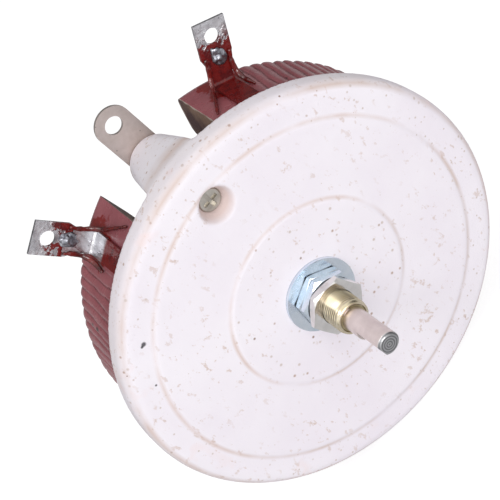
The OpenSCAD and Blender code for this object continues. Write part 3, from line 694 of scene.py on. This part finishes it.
dress("core_cement", ceramic(
    "refractory cement", paint(222, 214, 212), paint(200, 190, 188), paint(150, 136, 132), 0.5
))

# ---- End terminals ----------------------------------------------------------------------------
# Two tinned steel straps bent out from the winding. The ribbon's ends are soldered to the necks,
# and the joints are brushed over with red insulating lacquer.


def tinned_strap(name, side):
    """Dull tin: stained by lacquer round the hole and down the leg, bare where the strap bends."""
    made, tree, output = empty_material(name)
    where = node(tree, "ShaderNodeTexCoord")
    turned = node(
        tree,
        "ShaderNodeMapping",
        {"Vector": where.outputs["Object"], "Rotation": (0.0, -side * lug_angle, 0.0)},
    )
    axes = node(tree, "ShaderNodeSeparateXYZ", {0: turned.outputs[0]})
    reach = axes.outputs["Z"]
    blotch = effect(tree, cloud, Scale=330.0, Low=0.3, High=0.7, Seed=4.0)
    scratch = effect(tree, cloud, Scale=260.0, Stretch=(8.0, 1.0, 1.0), Low=0.35, High=0.65)
    metal = mix_colour(tree, blotch, paint(226, 226, 230), paint(176, 174, 178))
    worn = effect(tree, specks, Scale=900.0, Size=0.3, Share=0.2)
    metal = mix_colour(tree, calc(tree, "MULTIPLY", worn, 0.6), metal, paint(84, 82, 86))
    ragged = calc(
        tree, "ADD", reach, calc(tree, "MULTIPLY", calc(tree, "SUBTRACT", blotch, 0.5), 0.007)
    )
    inner = ramp(tree, ragged, 0.0648, 0.0653, 1.0, 0.0)
    drops = effect(tree, cloud, Scale=420.0, Low=0.55 if side < 0 else 0.48, High=0.6, Seed=9.0)
    outer = ramp(tree, reach, 0.066, 0.0705, 1.0, 0.0)
    stained = calc(tree, "MULTIPLY", drops, outer.outputs[0])
    lacquered = calc(tree, "MAXIMUM", inner.outputs[0], stained)
    if side < 0:
        # The left strap is bare from its neck round the bend
        bend = ramp(tree, ragged, 0.0612, 0.0622)
        low_leg = ramp(tree, axes.outputs["Y"], 0.0195, 0.0205, 1.0, 0.0)
        lacquered = calc(
            tree, "MULTIPLY", lacquered, calc(tree, "MAXIMUM", bend.outputs[0], low_leg.outputs[0])
        )
    colour = mix_colour(
        tree, lacquered, metal, mix_colour(tree, drops, paint(108, 22, 20), paint(86, 18, 20))
    )
    shine = calc(tree, "SUBTRACT", 1.0, lacquered)
    rough = ramp(tree, scratch, first=0.24, last=0.44)
    rough = node(
        tree,
        "ShaderNodeMix",
        {"Factor": lacquered, 2: rough.outputs[0], 3: 0.16},
        data_type="FLOAT",
    ).outputs[0]
    normal = bump(tree, blotch, 0.00012, bump(tree, lacquered, 0.0002))
    principled(
        tree,
        output,
        {"Base Color": colour, "Metallic": shine, "Roughness": rough, "Normal": normal},
    )
    return made


def lacquer():
    """Red insulating lacquer, brushed on thick: glossy, darker where it pools."""
    made, tree, output = empty_material("red lacquer")
    pooled = effect(tree, cloud, Scale=240.0, Low=0.35, High=0.65, Seed=6.0)
    colour = mix_colour(tree, pooled, paint(116, 24, 20), paint(66, 16, 16))
    normal = bump(tree, effect(tree, cloud, Scale=500.0, Low=0.2, High=0.8), 0.0001)
    principled(
        tree,
        output,
        {"Base Color": colour, "Roughness": 0.14, "Specular IOR Level": 0.6, "Normal": normal},
    )
    return made


def solder_metal():
    """Soft solder: grey, lumpy, half bright."""
    made, tree, output = empty_material("soft solder")
    dull = effect(tree, cloud, Scale=500.0, Low=0.3, High=0.7, Seed=8.0)
    colour = mix_colour(tree, dull, paint(176, 178, 186), paint(90, 90, 98))
    rough = ramp(tree, dull, first=0.22, last=0.5)
    normal = bump(tree, dull, 0.00015)
    principled(
        tree,
        output,
        {"Base Color": colour, "Metallic": 1.0, "Roughness": rough.outputs[0], "Normal": normal},
    )
    return made


red_lacquer = lacquer()
solder = solder_metal()


def blob(name, middle, radii, lumps, seed, material):
    """A lumpy drop: a fine ball stretched to its radii along the axes given by its matrix."""
    work = bmesh.new()
    bmesh.ops.create_icosphere(work, subdivisions=4, radius=1.0)
    for corner in work.verts:
        swell = 1.0 + lumps * noise.noise(corner.co * 1.7 + Vector((seed, seed, seed)))
        corner.co = Vector(corner.co[i] * radii[i] for i in range(3)) * swell
    mesh = bpy.data.meshes.new(name)
    work.to_mesh(mesh)
    work.free()
    for face in mesh.polygons:
        face.use_smooth = True
    mesh.transform(middle)
    mesh.materials.append(material)
    made = bpy.data.objects.new(name, mesh)
    bpy.context.scene.collection.objects.link(made)
    return made


def swept(name, points, radii, material, sides=14, flat=1.0):
    """A closed round bar through points, with a radius at each, squashed sideways by flat."""
    path = [Vector(p) for p in points]
    work = bmesh.new()
    rings = []
    for index, point in enumerate(path):
        ahead = (path[min(index + 1, len(path) - 1)] - path[max(index - 1, 0)]).normalized()
        side = ahead.cross(Vector((0.13, 1.0, 0.07))).normalized()
        over = side.cross(ahead)
        rings.append(
            [
                work.verts.new(
                    point
                    + radii[index] * (
                        math.cos(
                            2 * math.pi * k / sides
                        ) * side + flat * math.sin(2 * math.pi * k / sides) * over
                    )
                )
                for k in range(sides)
            ]
        )
    for first, second in zip(rings, rings[1:]):
        for k in range(sides):
            work.faces.new((first[k], first[(k + 1) % sides], second[(k + 1) % sides], second[k]))
    work.faces.new(rings[0])
    work.faces.new(rings[-1])
    bmesh.ops.recalc_face_normals(work, faces=work.faces)
    mesh = bpy.data.meshes.new(name)
    work.to_mesh(mesh)
    work.free()
    for face in mesh.polygons:
        face.use_smooth = True
    mesh.materials.append(material)
    made = bpy.data.objects.new(name, mesh)
    bpy.context.scene.collection.objects.link(made)
    return made


def rounded_path(points, steps=8):
    """Points of a smooth curve through the given points."""
    corners = [Vector(points[0]), *(Vector(p) for p in points), Vector(points[-1])]
    smooth_points = []
    for index in range(1, len(corners) - 2):
        a, b, c, d = corners[index - 1 : index + 3]
        for step in range(steps):
            t = step / steps
            smooth_points.append(
                0.5 * (
                    2 * b + (c - a) * t + (
                        2 * a - 5 * b + 4 * c - d
                    ) * t * t + (3 * b - a - 3 * c + d) * t**3
                )
            )
    smooth_points.append(corners[-2])
    return smooth_points


for side, name in ((-1, "left"), (1, "right")):
    dress("end_terminal_" + name, tinned_strap("tinned strap " + name, side))
    # The terminal's own axes: across it, along the shaft, and out from the shaft
    out = Vector((side * math.sin(lug_angle), 0.0, math.cos(lug_angle)))
    across = Vector((math.cos(lug_angle), 0.0, -side * math.sin(lug_angle)))
    axes = Matrix((across, Vector((0.0, 1.0, 0.0)), out)).transposed()

    def at(x, y, z):
        return across * x + Vector((0.0, y, 0.0)) + out * z

    def frame_at(x, y, z):
        return Matrix.Translation(at(x, y, z)) @ axes.to_4x4()

    joint = blob(
        "solder_" + name, frame_at(
            0.0002, 0.0251, 0.0617
        ), (0.0019, 0.0009, 0.0023), 0.5, 3.1 + side, solder
    )
    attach(joint, "stator")
    # Each end of the ribbon comes up beside the neck, under lacquer, and is soldered to the tab
    for hand in (-1, 1):
        long_one = hand == -side
        foot = (
            [at(hand * 0.0088, 0.0140, 0.0530), at(hand * 0.0070, 0.0176, 0.0533)]
            if long_one
            else [at(hand * 0.0056, 0.0190, 0.0533)]
        )
        run = rounded_path(
            [
                *foot,
                at(hand * 0.0046, 0.0226, 0.0541),
                at(hand * 0.0038, 0.0246, 0.0562),
                at(hand * 0.0034, 0.0250, 0.0592),
                at(hand * 0.0036, 0.0250, 0.0622),
            ]
        )
        sizes = [
            0.00045 + 0.00030 * math.sin(
                math.pi * i / (len(run) - 1)
            ) + 0.00022 * noise.noise(p * 900.0)
            for i, p in enumerate(run)
        ]
        sizes[0] = sizes[-1] = 0.0002
        lead = swept(f"lead_{name}_{'a' if hand < 0 else 'b'}", run, sizes, red_lacquer, flat=0.7)
        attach(lead, "stator")

# ---- Base -------------------------------------------------------------------------------------
# The base and the boss on it are one pressing of white bisque ceramic. Its steps, edges and the
# countersink are softened by the die and the firing, and handling has stained it here and there.


def bisque():
    """The base's ceramic: pinkish white, with pits, grey specks and thin brown stains."""
    made, tree, output = empty_material("white bisque")
    where = node(tree, "ShaderNodeTexCoord")
    axes = node(tree, "ShaderNodeSeparateXYZ", {0: where.outputs["Object"]})
    flat = node(tree, "ShaderNodeCombineXYZ", {"X": axes.outputs["X"], "Y": axes.outputs["Z"]})
    radius = node(
        tree, "ShaderNodeVectorMath", {0: flat.outputs[0]}, operation="LENGTH"
    ).outputs["Value"]
    colour = mix_colour(
        tree,
        effect(tree, cloud, Scale=28.0, Low=0.35, High=0.7),
        paint(238, 233, 239),
        paint(232, 225, 233),
    )
    # Stains: small broken strokes, thickest towards the rim and round the steps
    stroke = effect(
        tree, cloud, Scale=620.0, Detail=5.0, Low=0.60, High=0.66, Stretch=(1.0, 1.0, 0.6), Seed=1.5
    )
    patch = effect(tree, cloud, Scale=45.0, Low=0.34, High=0.62, Seed=7.0)
    colour = mix_colour(
        tree,
        calc(tree, "MULTIPLY", calc(tree, "MULTIPLY", stroke, patch), 0.7),
        colour,
        paint(200, 176, 164),
    )
    for edge_radius, width in ((0.0480, 0.0009), (0.0264, 0.0008), (0.0560, 0.0012)):
        off = calc(tree, "ABSOLUTE", calc(tree, "SUBTRACT", radius, edge_radius))
        ring = ramp(tree, off, high=width, first=1.0, last=0.0)
        soiled = calc(tree, "MULTIPLY", calc(tree, "MULTIPLY", ring.outputs[0], patch), 0.8)
        colour = mix_colour(tree, soiled, colour, paint(208, 186, 176))
    blush = effect(tree, cloud, Scale=70.0, Low=0.60, High=0.72, Seed=11.0)
    rim = ramp(tree, radius, 0.046, 0.055)
    colour = mix_colour(
        tree,
        calc(tree, "MULTIPLY", calc(tree, "MULTIPLY", blush, rim.outputs[0]), 0.6),
        colour,
        paint(236, 212, 210),
    )
    for scale, size, share, seed, tone in (
        (620.0, 0.36, 0.30, 0.0, paint(206, 192, 188)),
        (430.0, 0.24, 0.22, 4.0, paint(184, 160, 150)),
        (300.0, 0.16, 0.10, 8.0, paint(140, 112, 100)),
    ):
        colour = mix_colour(
            tree, effect(tree, specks, Scale=scale, Size=size, Share=share, Seed=seed), colour, tone
        )
    # Painted shade: the countersink's wall is painted darker
    near_screw = node(
        tree,
        "ShaderNodeVectorMath",
        {0: flat.outputs[0], 1: (0.0, 0.0432, 0.0)},
        operation="DISTANCE",
    )
    painted_countersink_shade = ramp(tree, near_screw.outputs["Value"], 0.0040, 0.0054, 1.0, 0.0)
    front = ramp(tree, axes.outputs["Y"], 0.0070, 0.0080, 1.0, 0.0)
    colour = mix_colour(
        tree,
        calc(tree, "MULTIPLY", painted_countersink_shade.outputs[0], front.outputs[0]),
        colour,
        paint(220, 202, 198),
    )
    # One cluster of burnt pits near the rim, and a lone one
    for x, z, size in (
        (-0.03774, 0.03360, 0.00085), (-0.03850, 0.03345, 0.0005), (-0.04406, 0.02245, 0.0004)
    ):
        away = node(
            tree, "ShaderNodeVectorMath", {0: flat.outputs[0], 1: (x, z, 0.0)}, operation="DISTANCE"
        ).outputs["Value"]
        rough = calc(tree, "ADD", away, calc(tree, "MULTIPLY", stroke, 0.0004))
        pit = ramp(tree, rough, size * 0.5, size, 0.9, 0.0)
        colour = mix_colour(tree, pit.outputs[0], colour, paint(44, 42, 48))
    grain = effect(tree, cloud, Scale=2000.0, Detail=2.0, Low=0.2, High=0.8)
    swell = effect(tree, cloud, Scale=150.0, Detail=2.0, Low=0.2, High=0.8, Seed=5.0)
    pinholes = effect(tree, specks, Scale=800.0, Size=0.35, Share=0.12, Seed=6.0)
    normal = bump(tree, pinholes, -0.00006, bump(tree, grain, 0.00003, bump(tree, swell, 0.00007)))
    principled(
        tree,
        output,
        {"Base Color": colour, "Roughness": 0.66, "Specular IOR Level": 0.35, "Normal": normal},
    )
    return made


bisque_white = bisque()
base = bpy.data.objects.new("base_pressing", cad["base"].data.copy())
bpy.context.scene.collection.objects.link(base)
point_outwards(base.data)
for name, kind, settings in (
    ("pressed", "REMESH", {"mode": "VOXEL", "voxel_size": 0.00062, "use_smooth_shade": True}),
    ("fired", "SMOOTH", {"factor": 0.5, "iterations": 2}),
):
    change = base.modifiers.new(name, kind)
    for key, value in settings.items():
        setattr(change, key, value)
bpy.context.view_layer.update()
pressed = bpy.data.meshes.new_from_object(base.evaluated_get(bpy.context.evaluated_depsgraph_get()))
base.modifiers.clear()
base.data = pressed
for face in pressed.polygons:
    face.use_smooth = True
pressed.materials.clear()
pressed.materials.append(bisque_white)
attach(base, "stator")
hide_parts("base")

# ---- Bushing ----------------------------------------------------------------------------------
# Turned brass with a rolled thread of 32 to the inch, a plain collar at the tip, and a mouth
# that takes the shaft's clip. Its hex flange sits in the pedestal behind the base.


def turned_metal(
    name, body, shade, low_rough, high_rough, scale=900.0, stretch=(1.0, 1.0, 1.0), painted_shade_reach=0.0
):
    """Machined or plated metal: tool marks, cloudy polish, dark specks, painted shade in gaps."""
    made, tree, output = empty_material(name)
    worn = effect(tree, cloud, Scale=220.0, Low=0.3, High=0.7)
    marks = effect(
        tree, cloud, Scale=scale, Detail=1.0, Low=0.3, High=0.7, Stretch=stretch, Seed=2.0
    )
    colour = mix_colour(tree, worn, body, shade)
    colour = mix_colour(
        tree,
        effect(tree, specks, Scale=900.0, Size=0.25, Share=0.08),
        colour,
        tuple(0.35 * c for c in shade[:3]) + (1.0,),
    )
    if painted_shade_reach:
        # Painted shade: an ambient occlusion mask darkens the colour in narrow gaps and crevices.
        tight = node(tree, "ShaderNodeAmbientOcclusion", {"Distance": painted_shade_reach}, samples=6)
        painted_crevice_shade = ramp(tree, tight.outputs["AO"], 0.25, 0.72, 0.85, 0.0)
        colour = mix_colour(tree, painted_crevice_shade.outputs[0], colour, paint(46, 44, 50))
    rough = ramp(tree, worn, first=low_rough, last=high_rough)
    normal = bump(tree, marks, 0.000012)
    principled(
        tree,
        output,
        {"Base Color": colour, "Metallic": 1.0, "Roughness": rough.outputs[0], "Normal": normal},
    )
    return made


thread_radius, thread_pitch, thread_depth = 0.0047625, 0.0254 / 32, 0.00050
collar_radius, mouth_radius, bore_radius = 0.0045125, 0.003825, 0.003225
bushing_tip, collar_start = -0.0160, -0.0149
flange_face, flange_seat = 0.0140, 0.0110


def threaded_brass():
    """Pale nickel-washed brass, with painted shade darkening the thread's roots."""
    made, tree, output = empty_material("bushing brass")
    where = node(tree, "ShaderNodeTexCoord")
    axes = node(tree, "ShaderNodeSeparateXYZ", {0: where.outputs["Object"]})
    flat = node(tree, "ShaderNodeCombineXYZ", {"X": axes.outputs["X"], "Y": axes.outputs["Z"]})
    radius = node(
        tree, "ShaderNodeVectorMath", {0: flat.outputs[0]}, operation="LENGTH"
    ).outputs["Value"]
    worn = effect(tree, cloud, Scale=220.0, Low=0.3, High=0.7)
    colour = mix_colour(tree, worn, paint(232, 222, 200), paint(206, 192, 160))
    # Painted shade: the colour goes dark brown in the thread's roots along the threaded length.
    root = ramp(tree, radius, thread_radius - 0.00030, thread_radius - 0.00012, 1.0, 0.0)
    cut = ramp(tree, axes.outputs["Y"], collar_start, collar_start + 0.0004)
    outside = ramp(tree, radius, mouth_radius + 0.0001, mouth_radius + 0.0002)
    painted_root_shade = calc(
        tree,
        "MULTIPLY",
        calc(tree, "MULTIPLY", root.outputs[0], cut.outputs[0]),
        outside.outputs[0],
    )
    colour = mix_colour(tree, calc(tree, "MULTIPLY", painted_root_shade, 0.92), colour, paint(74, 56, 38))
    rough = ramp(tree, worn, first=0.14, last=0.26)
    normal = bump(tree, effect(tree, cloud, Scale=1600.0, Detail=1.0, Low=0.3, High=0.7), 0.00001)
    principled(
        tree,
        output,
        {"Base Color": colour, "Metallic": 1.0, "Roughness": rough.outputs[0], "Normal": normal},
    )
    return made


bushing_brass = threaded_brass()


def thread_drop(y, angle):
    """How far the thread's surface lies below its crest at a place along and about the axis."""
    turn = (y / thread_pitch - angle / (2 * math.pi)) % 1.0
    depth = min(1.0, max(0.0, (abs(turn - 0.5) * 2 - 0.08) / 0.84))
    runout = min(1.0, max(0.0, (y - collar_start) / (1.2 * thread_pitch)))
    return thread_depth * (1 - depth) * runout


sides = 96
levels = [(flange_seat, thread_radius, False), (0.0, thread_radius, False)]
thread_rows = int(-collar_start / thread_pitch * 10)
levels += [(collar_start * i / thread_rows, thread_radius, True) for i in range(1, thread_rows)]
levels += [(collar_start, collar_radius, False), (bushing_tip + 0.0002, collar_radius, False)]
levels += [
    (bushing_tip, collar_radius - 0.0002, False), (bushing_tip, mouth_radius + 0.0001, False)
]
levels += [
    (bushing_tip + 0.0001, mouth_radius, False),
    (-0.0151, mouth_radius, False),
    (-0.0151, bore_radius, False),
]
levels += [(flange_face, bore_radius, False)]
work = bmesh.new()
rings = []
for y, radius, threaded in levels:
    ring = []
    for k in range(sides):
        angle = 2 * math.pi * k / sides
        r = radius - (thread_drop(y, angle) if threaded else 0.0)
        ring.append(work.verts.new((r * math.cos(angle), y, r * math.sin(angle))))
    rings.append(ring)
for first, second in zip(rings, rings[1:]):
    for k in range(sides):
        work.faces.new((first[k], first[(k + 1) % sides], second[(k + 1) % sides], second[k]))
hexagon = []
for y in (flange_face, flange_seat):
    hexagon.append([])
    for k in range(sides):
        angle = 2 * math.pi * k / sides
        lean = (angle + math.pi / 6) % (math.pi / 3) - math.pi / 6
        r = 0.0070 / math.cos(lean)
        hexagon[-1].append(
            work.verts.new(
                (r * math.cos(angle + math.pi / 2), y, r * math.sin(angle + math.pi / 2))
            )
        )
shift = sides // 4
for k in range(sides):
    n = (k + 1) % sides
    a, b = hexagon[0], hexagon[1]
    inner, outer = rings[-1], rings[0]
    work.faces.new((a[k], a[n], b[n], b[k]))
    work.faces.new((a[k], inner[(k + shift) % sides], inner[(n + shift) % sides], a[n]))
    work.faces.new((b[k], b[n], outer[(n + shift) % sides], outer[(k + shift) % sides]))
bmesh.ops.recalc_face_normals(work, faces=work.faces)
mesh = bpy.data.meshes.new("threaded_bushing")
work.to_mesh(mesh)
work.free()
for face in mesh.polygons:
    face.use_smooth = abs(face.normal.y) < 0.9
mesh.materials.append(bushing_brass)
bushing = bpy.data.objects.new("threaded_bushing", mesh)
bpy.context.scene.collection.objects.link(bushing)
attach(bushing, "stator")
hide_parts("bushing")

# ---- Collector and stop pins ------------------------------------------------------------------
# A phosphor-bronze ring riveted flat on the pedestal carries the current out over the boss to the
# centre terminal. Two ground steel pins cemented in the base end the arm's travel.

phosphor_bronze = turned_metal(
    "phosphor bronze", paint(208, 164, 112), paint(168, 122, 78), 0.28, 0.45
)
ground_steel = turned_metal("ground steel", paint(170, 170, 172), paint(128, 128, 132), 0.25, 0.4)
dress("collector_strip", phosphor_bronze)
dress("stop_pins", ground_steel)

# ---- Centre terminal --------------------------------------------------------------------------
# A stamped lug of dull tinned brass clamped behind the boss by a flat-headed screw that is sunk
# in the base, with a split washer and a nut behind it.

dress("centre_terminal", turned_metal(
    "dull tinned brass", paint(218, 208, 202), paint(198, 187, 180), 0.36, 0.5
))
zinc_screw = turned_metal("zinc screw", paint(216, 212, 204), paint(168, 162, 152), 0.26, 0.44)
dress("terminal_screw", zinc_screw)
dress(
    "terminal_washer",
    turned_metal("spring steel", paint(120, 122, 126), paint(84, 86, 90), 0.3, 0.5),
)
dress(
    "terminal_nut", turned_metal("zinc nut", paint(196, 200, 206), paint(160, 166, 172), 0.22, 0.36)
)

# ---- Washer and nuts --------------------------------------------------------------------------
# Blue-passivated zinc: a flat washer against the ceramic and two thin hex nuts. In front come a
# toothed lock washer and a brighter nickel-plated nut for the panel.

blue_zinc = turned_metal(
    "blue zinc", paint(230, 237, 244), paint(208, 221, 234), 0.14, 0.28, painted_shade_reach=0.0008
)
dress("flat_washer", blue_zinc)
dress("fixing_nut", blue_zinc)
dress("lock_nut", blue_zinc)
dress(
    "lock_washer",
    turned_metal("toothed zinc", paint(150, 150, 152), paint(96, 94, 92), 0.3, 0.5, painted_shade_reach=0.0008),
)
dress(
    "panel_nut",
    turned_metal(
        "bright nickel", paint(240, 238, 236), paint(214, 211, 208), 0.08, 0.2, painted_shade_reach=0.0008
    ),
)

# ---- Shaft ------------------------------------------------------------------------------------
# Ground steel rod with dull nickel plate. Its knob end is faced and bevelled after plating, so it
# shows bright rings, and a flat is milled along one side for the knob's screw.


def plated_shaft():
    """Dull nickel along the shaft, bare machined steel on its end."""
    made, tree, output = empty_material("plated shaft")
    where = node(tree, "ShaderNodeTexCoord")
    axes = node(tree, "ShaderNodeSeparateXYZ", {0: where.outputs["Object"]})
    flat = node(tree, "ShaderNodeCombineXYZ", {"X": axes.outputs["X"], "Y": axes.outputs["Z"]})
    radius = node(
        tree, "ShaderNodeVectorMath", {0: flat.outputs[0]}, operation="LENGTH"
    ).outputs["Value"]
    worn = effect(tree, cloud, Scale=260.0, Low=0.3, High=0.7)
    drawn = effect(tree, cloud, Scale=500.0, Detail=1.0, Low=0.3, High=0.7, Stretch=(6.0, 0.4, 6.0))
    plate = mix_colour(tree, worn, paint(228, 217, 212), paint(212, 200, 196))
    tip = ramp(tree, axes.outputs["Y"], -0.03125, -0.0311, 1.0, 0.0).outputs[0]
    ringed = calc(
        tree,
        "SINE",
        calc(
            tree,
            "MULTIPLY",
            calc(tree, "ADD", radius, calc(tree, "MULTIPLY", worn, 0.0002)),
            9000.0,
        ),
    )
    faced = mix_colour(
        tree,
        calc(tree, "ADD", calc(tree, "MULTIPLY", ringed, 0.4), 0.5),
        paint(190, 190, 192),
        paint(112, 112, 114),
    )
    colour = mix_colour(tree, tip, plate, faced)
    rough = ramp(tree, drawn, first=0.3, last=0.42)
    height = calc(
        tree, "ADD", calc(tree, "MULTIPLY", drawn, 0.3), calc(tree, "MULTIPLY", ringed, tip)
    )
    normal = bump(tree, height, 0.00002)
    principled(
        tree,
        output,
        {"Base Color": colour, "Metallic": 1.0, "Roughness": rough.outputs[0], "Normal": normal},
    )
    return made


dress("shaft", plated_shaft())
phosphated = turned_metal("phosphated steel", paint(92, 92, 94), paint(58, 58, 60), 0.35, 0.5)
dress(
    "front_clip", turned_metal("clip brass", paint(196, 184, 150), paint(150, 138, 108), 0.3, 0.45)
)
dress("rear_clip", phosphated)

# ---- Hub --------------------------------------------------------------------------------------
# A turned ceramic hub, pinned to the shaft, keeps it insulated from the live arm. A bronze washer
# takes the spring's push, and the spring presses the slip ring on the collector.

dress("thrust_washer", phosphor_bronze)
dress(
    "hub",
    ceramic("hub ceramic", paint(226, 218, 206), paint(206, 196, 182), paint(140, 120, 104), 0.25),
)
dress("hub_pin", ground_steel)
dress("slip_ring", phosphor_bronze)
dress(
    "hub_spring",
    turned_metal("spring wire", paint(176, 178, 184), paint(140, 142, 148), 0.22, 0.36),
)
plate_zinc = turned_metal("zinc plate", paint(184, 190, 198), paint(150, 156, 164), 0.26, 0.42)
dress("stop_arm", plate_zinc)
dress("rear_washer", plate_zinc)

# ---- Contact arm ------------------------------------------------------------------------------
# A nickel-plated strip carries a folded brass holder with a copper-graphite brush in it. A braid
# from the slip ring brings the current out to the arm.

dress("contact_arm", turned_metal(
    "nickel strip", paint(186, 184, 180), paint(154, 152, 148), 0.22, 0.38, 700.0, (8.0, 1.0, 1.0)
))
dress(
    "brush_holder",
    turned_metal("holder brass", paint(214, 184, 120), paint(178, 148, 90), 0.24, 0.4),
)
dress(
    "pigtail",
    turned_metal("copper braid", paint(202, 132, 96), paint(150, 88, 60), 0.35, 0.55, 2400.0),
)


def graphite():
    """Pressed copper-graphite: dark, faintly glittering, polished where it rubs."""
    made, tree, output = empty_material("copper graphite")
    flakes = effect(tree, specks, Scale=2200.0, Size=0.5, Share=0.3)
    colour = mix_colour(tree, flakes, paint(58, 52, 50), paint(136, 96, 76))
    normal = bump(tree, effect(tree, cloud, Scale=1800.0, Low=0.2, High=0.8), 0.00004)
    principled(
        tree,
        output,
        {
            "Base Color": colour,
            "Metallic": calc(tree, "MULTIPLY", flakes, 0.8),
            "Roughness": 0.5,
            "Normal": normal,
        },
    )
    return made


dress("brush", graphite())
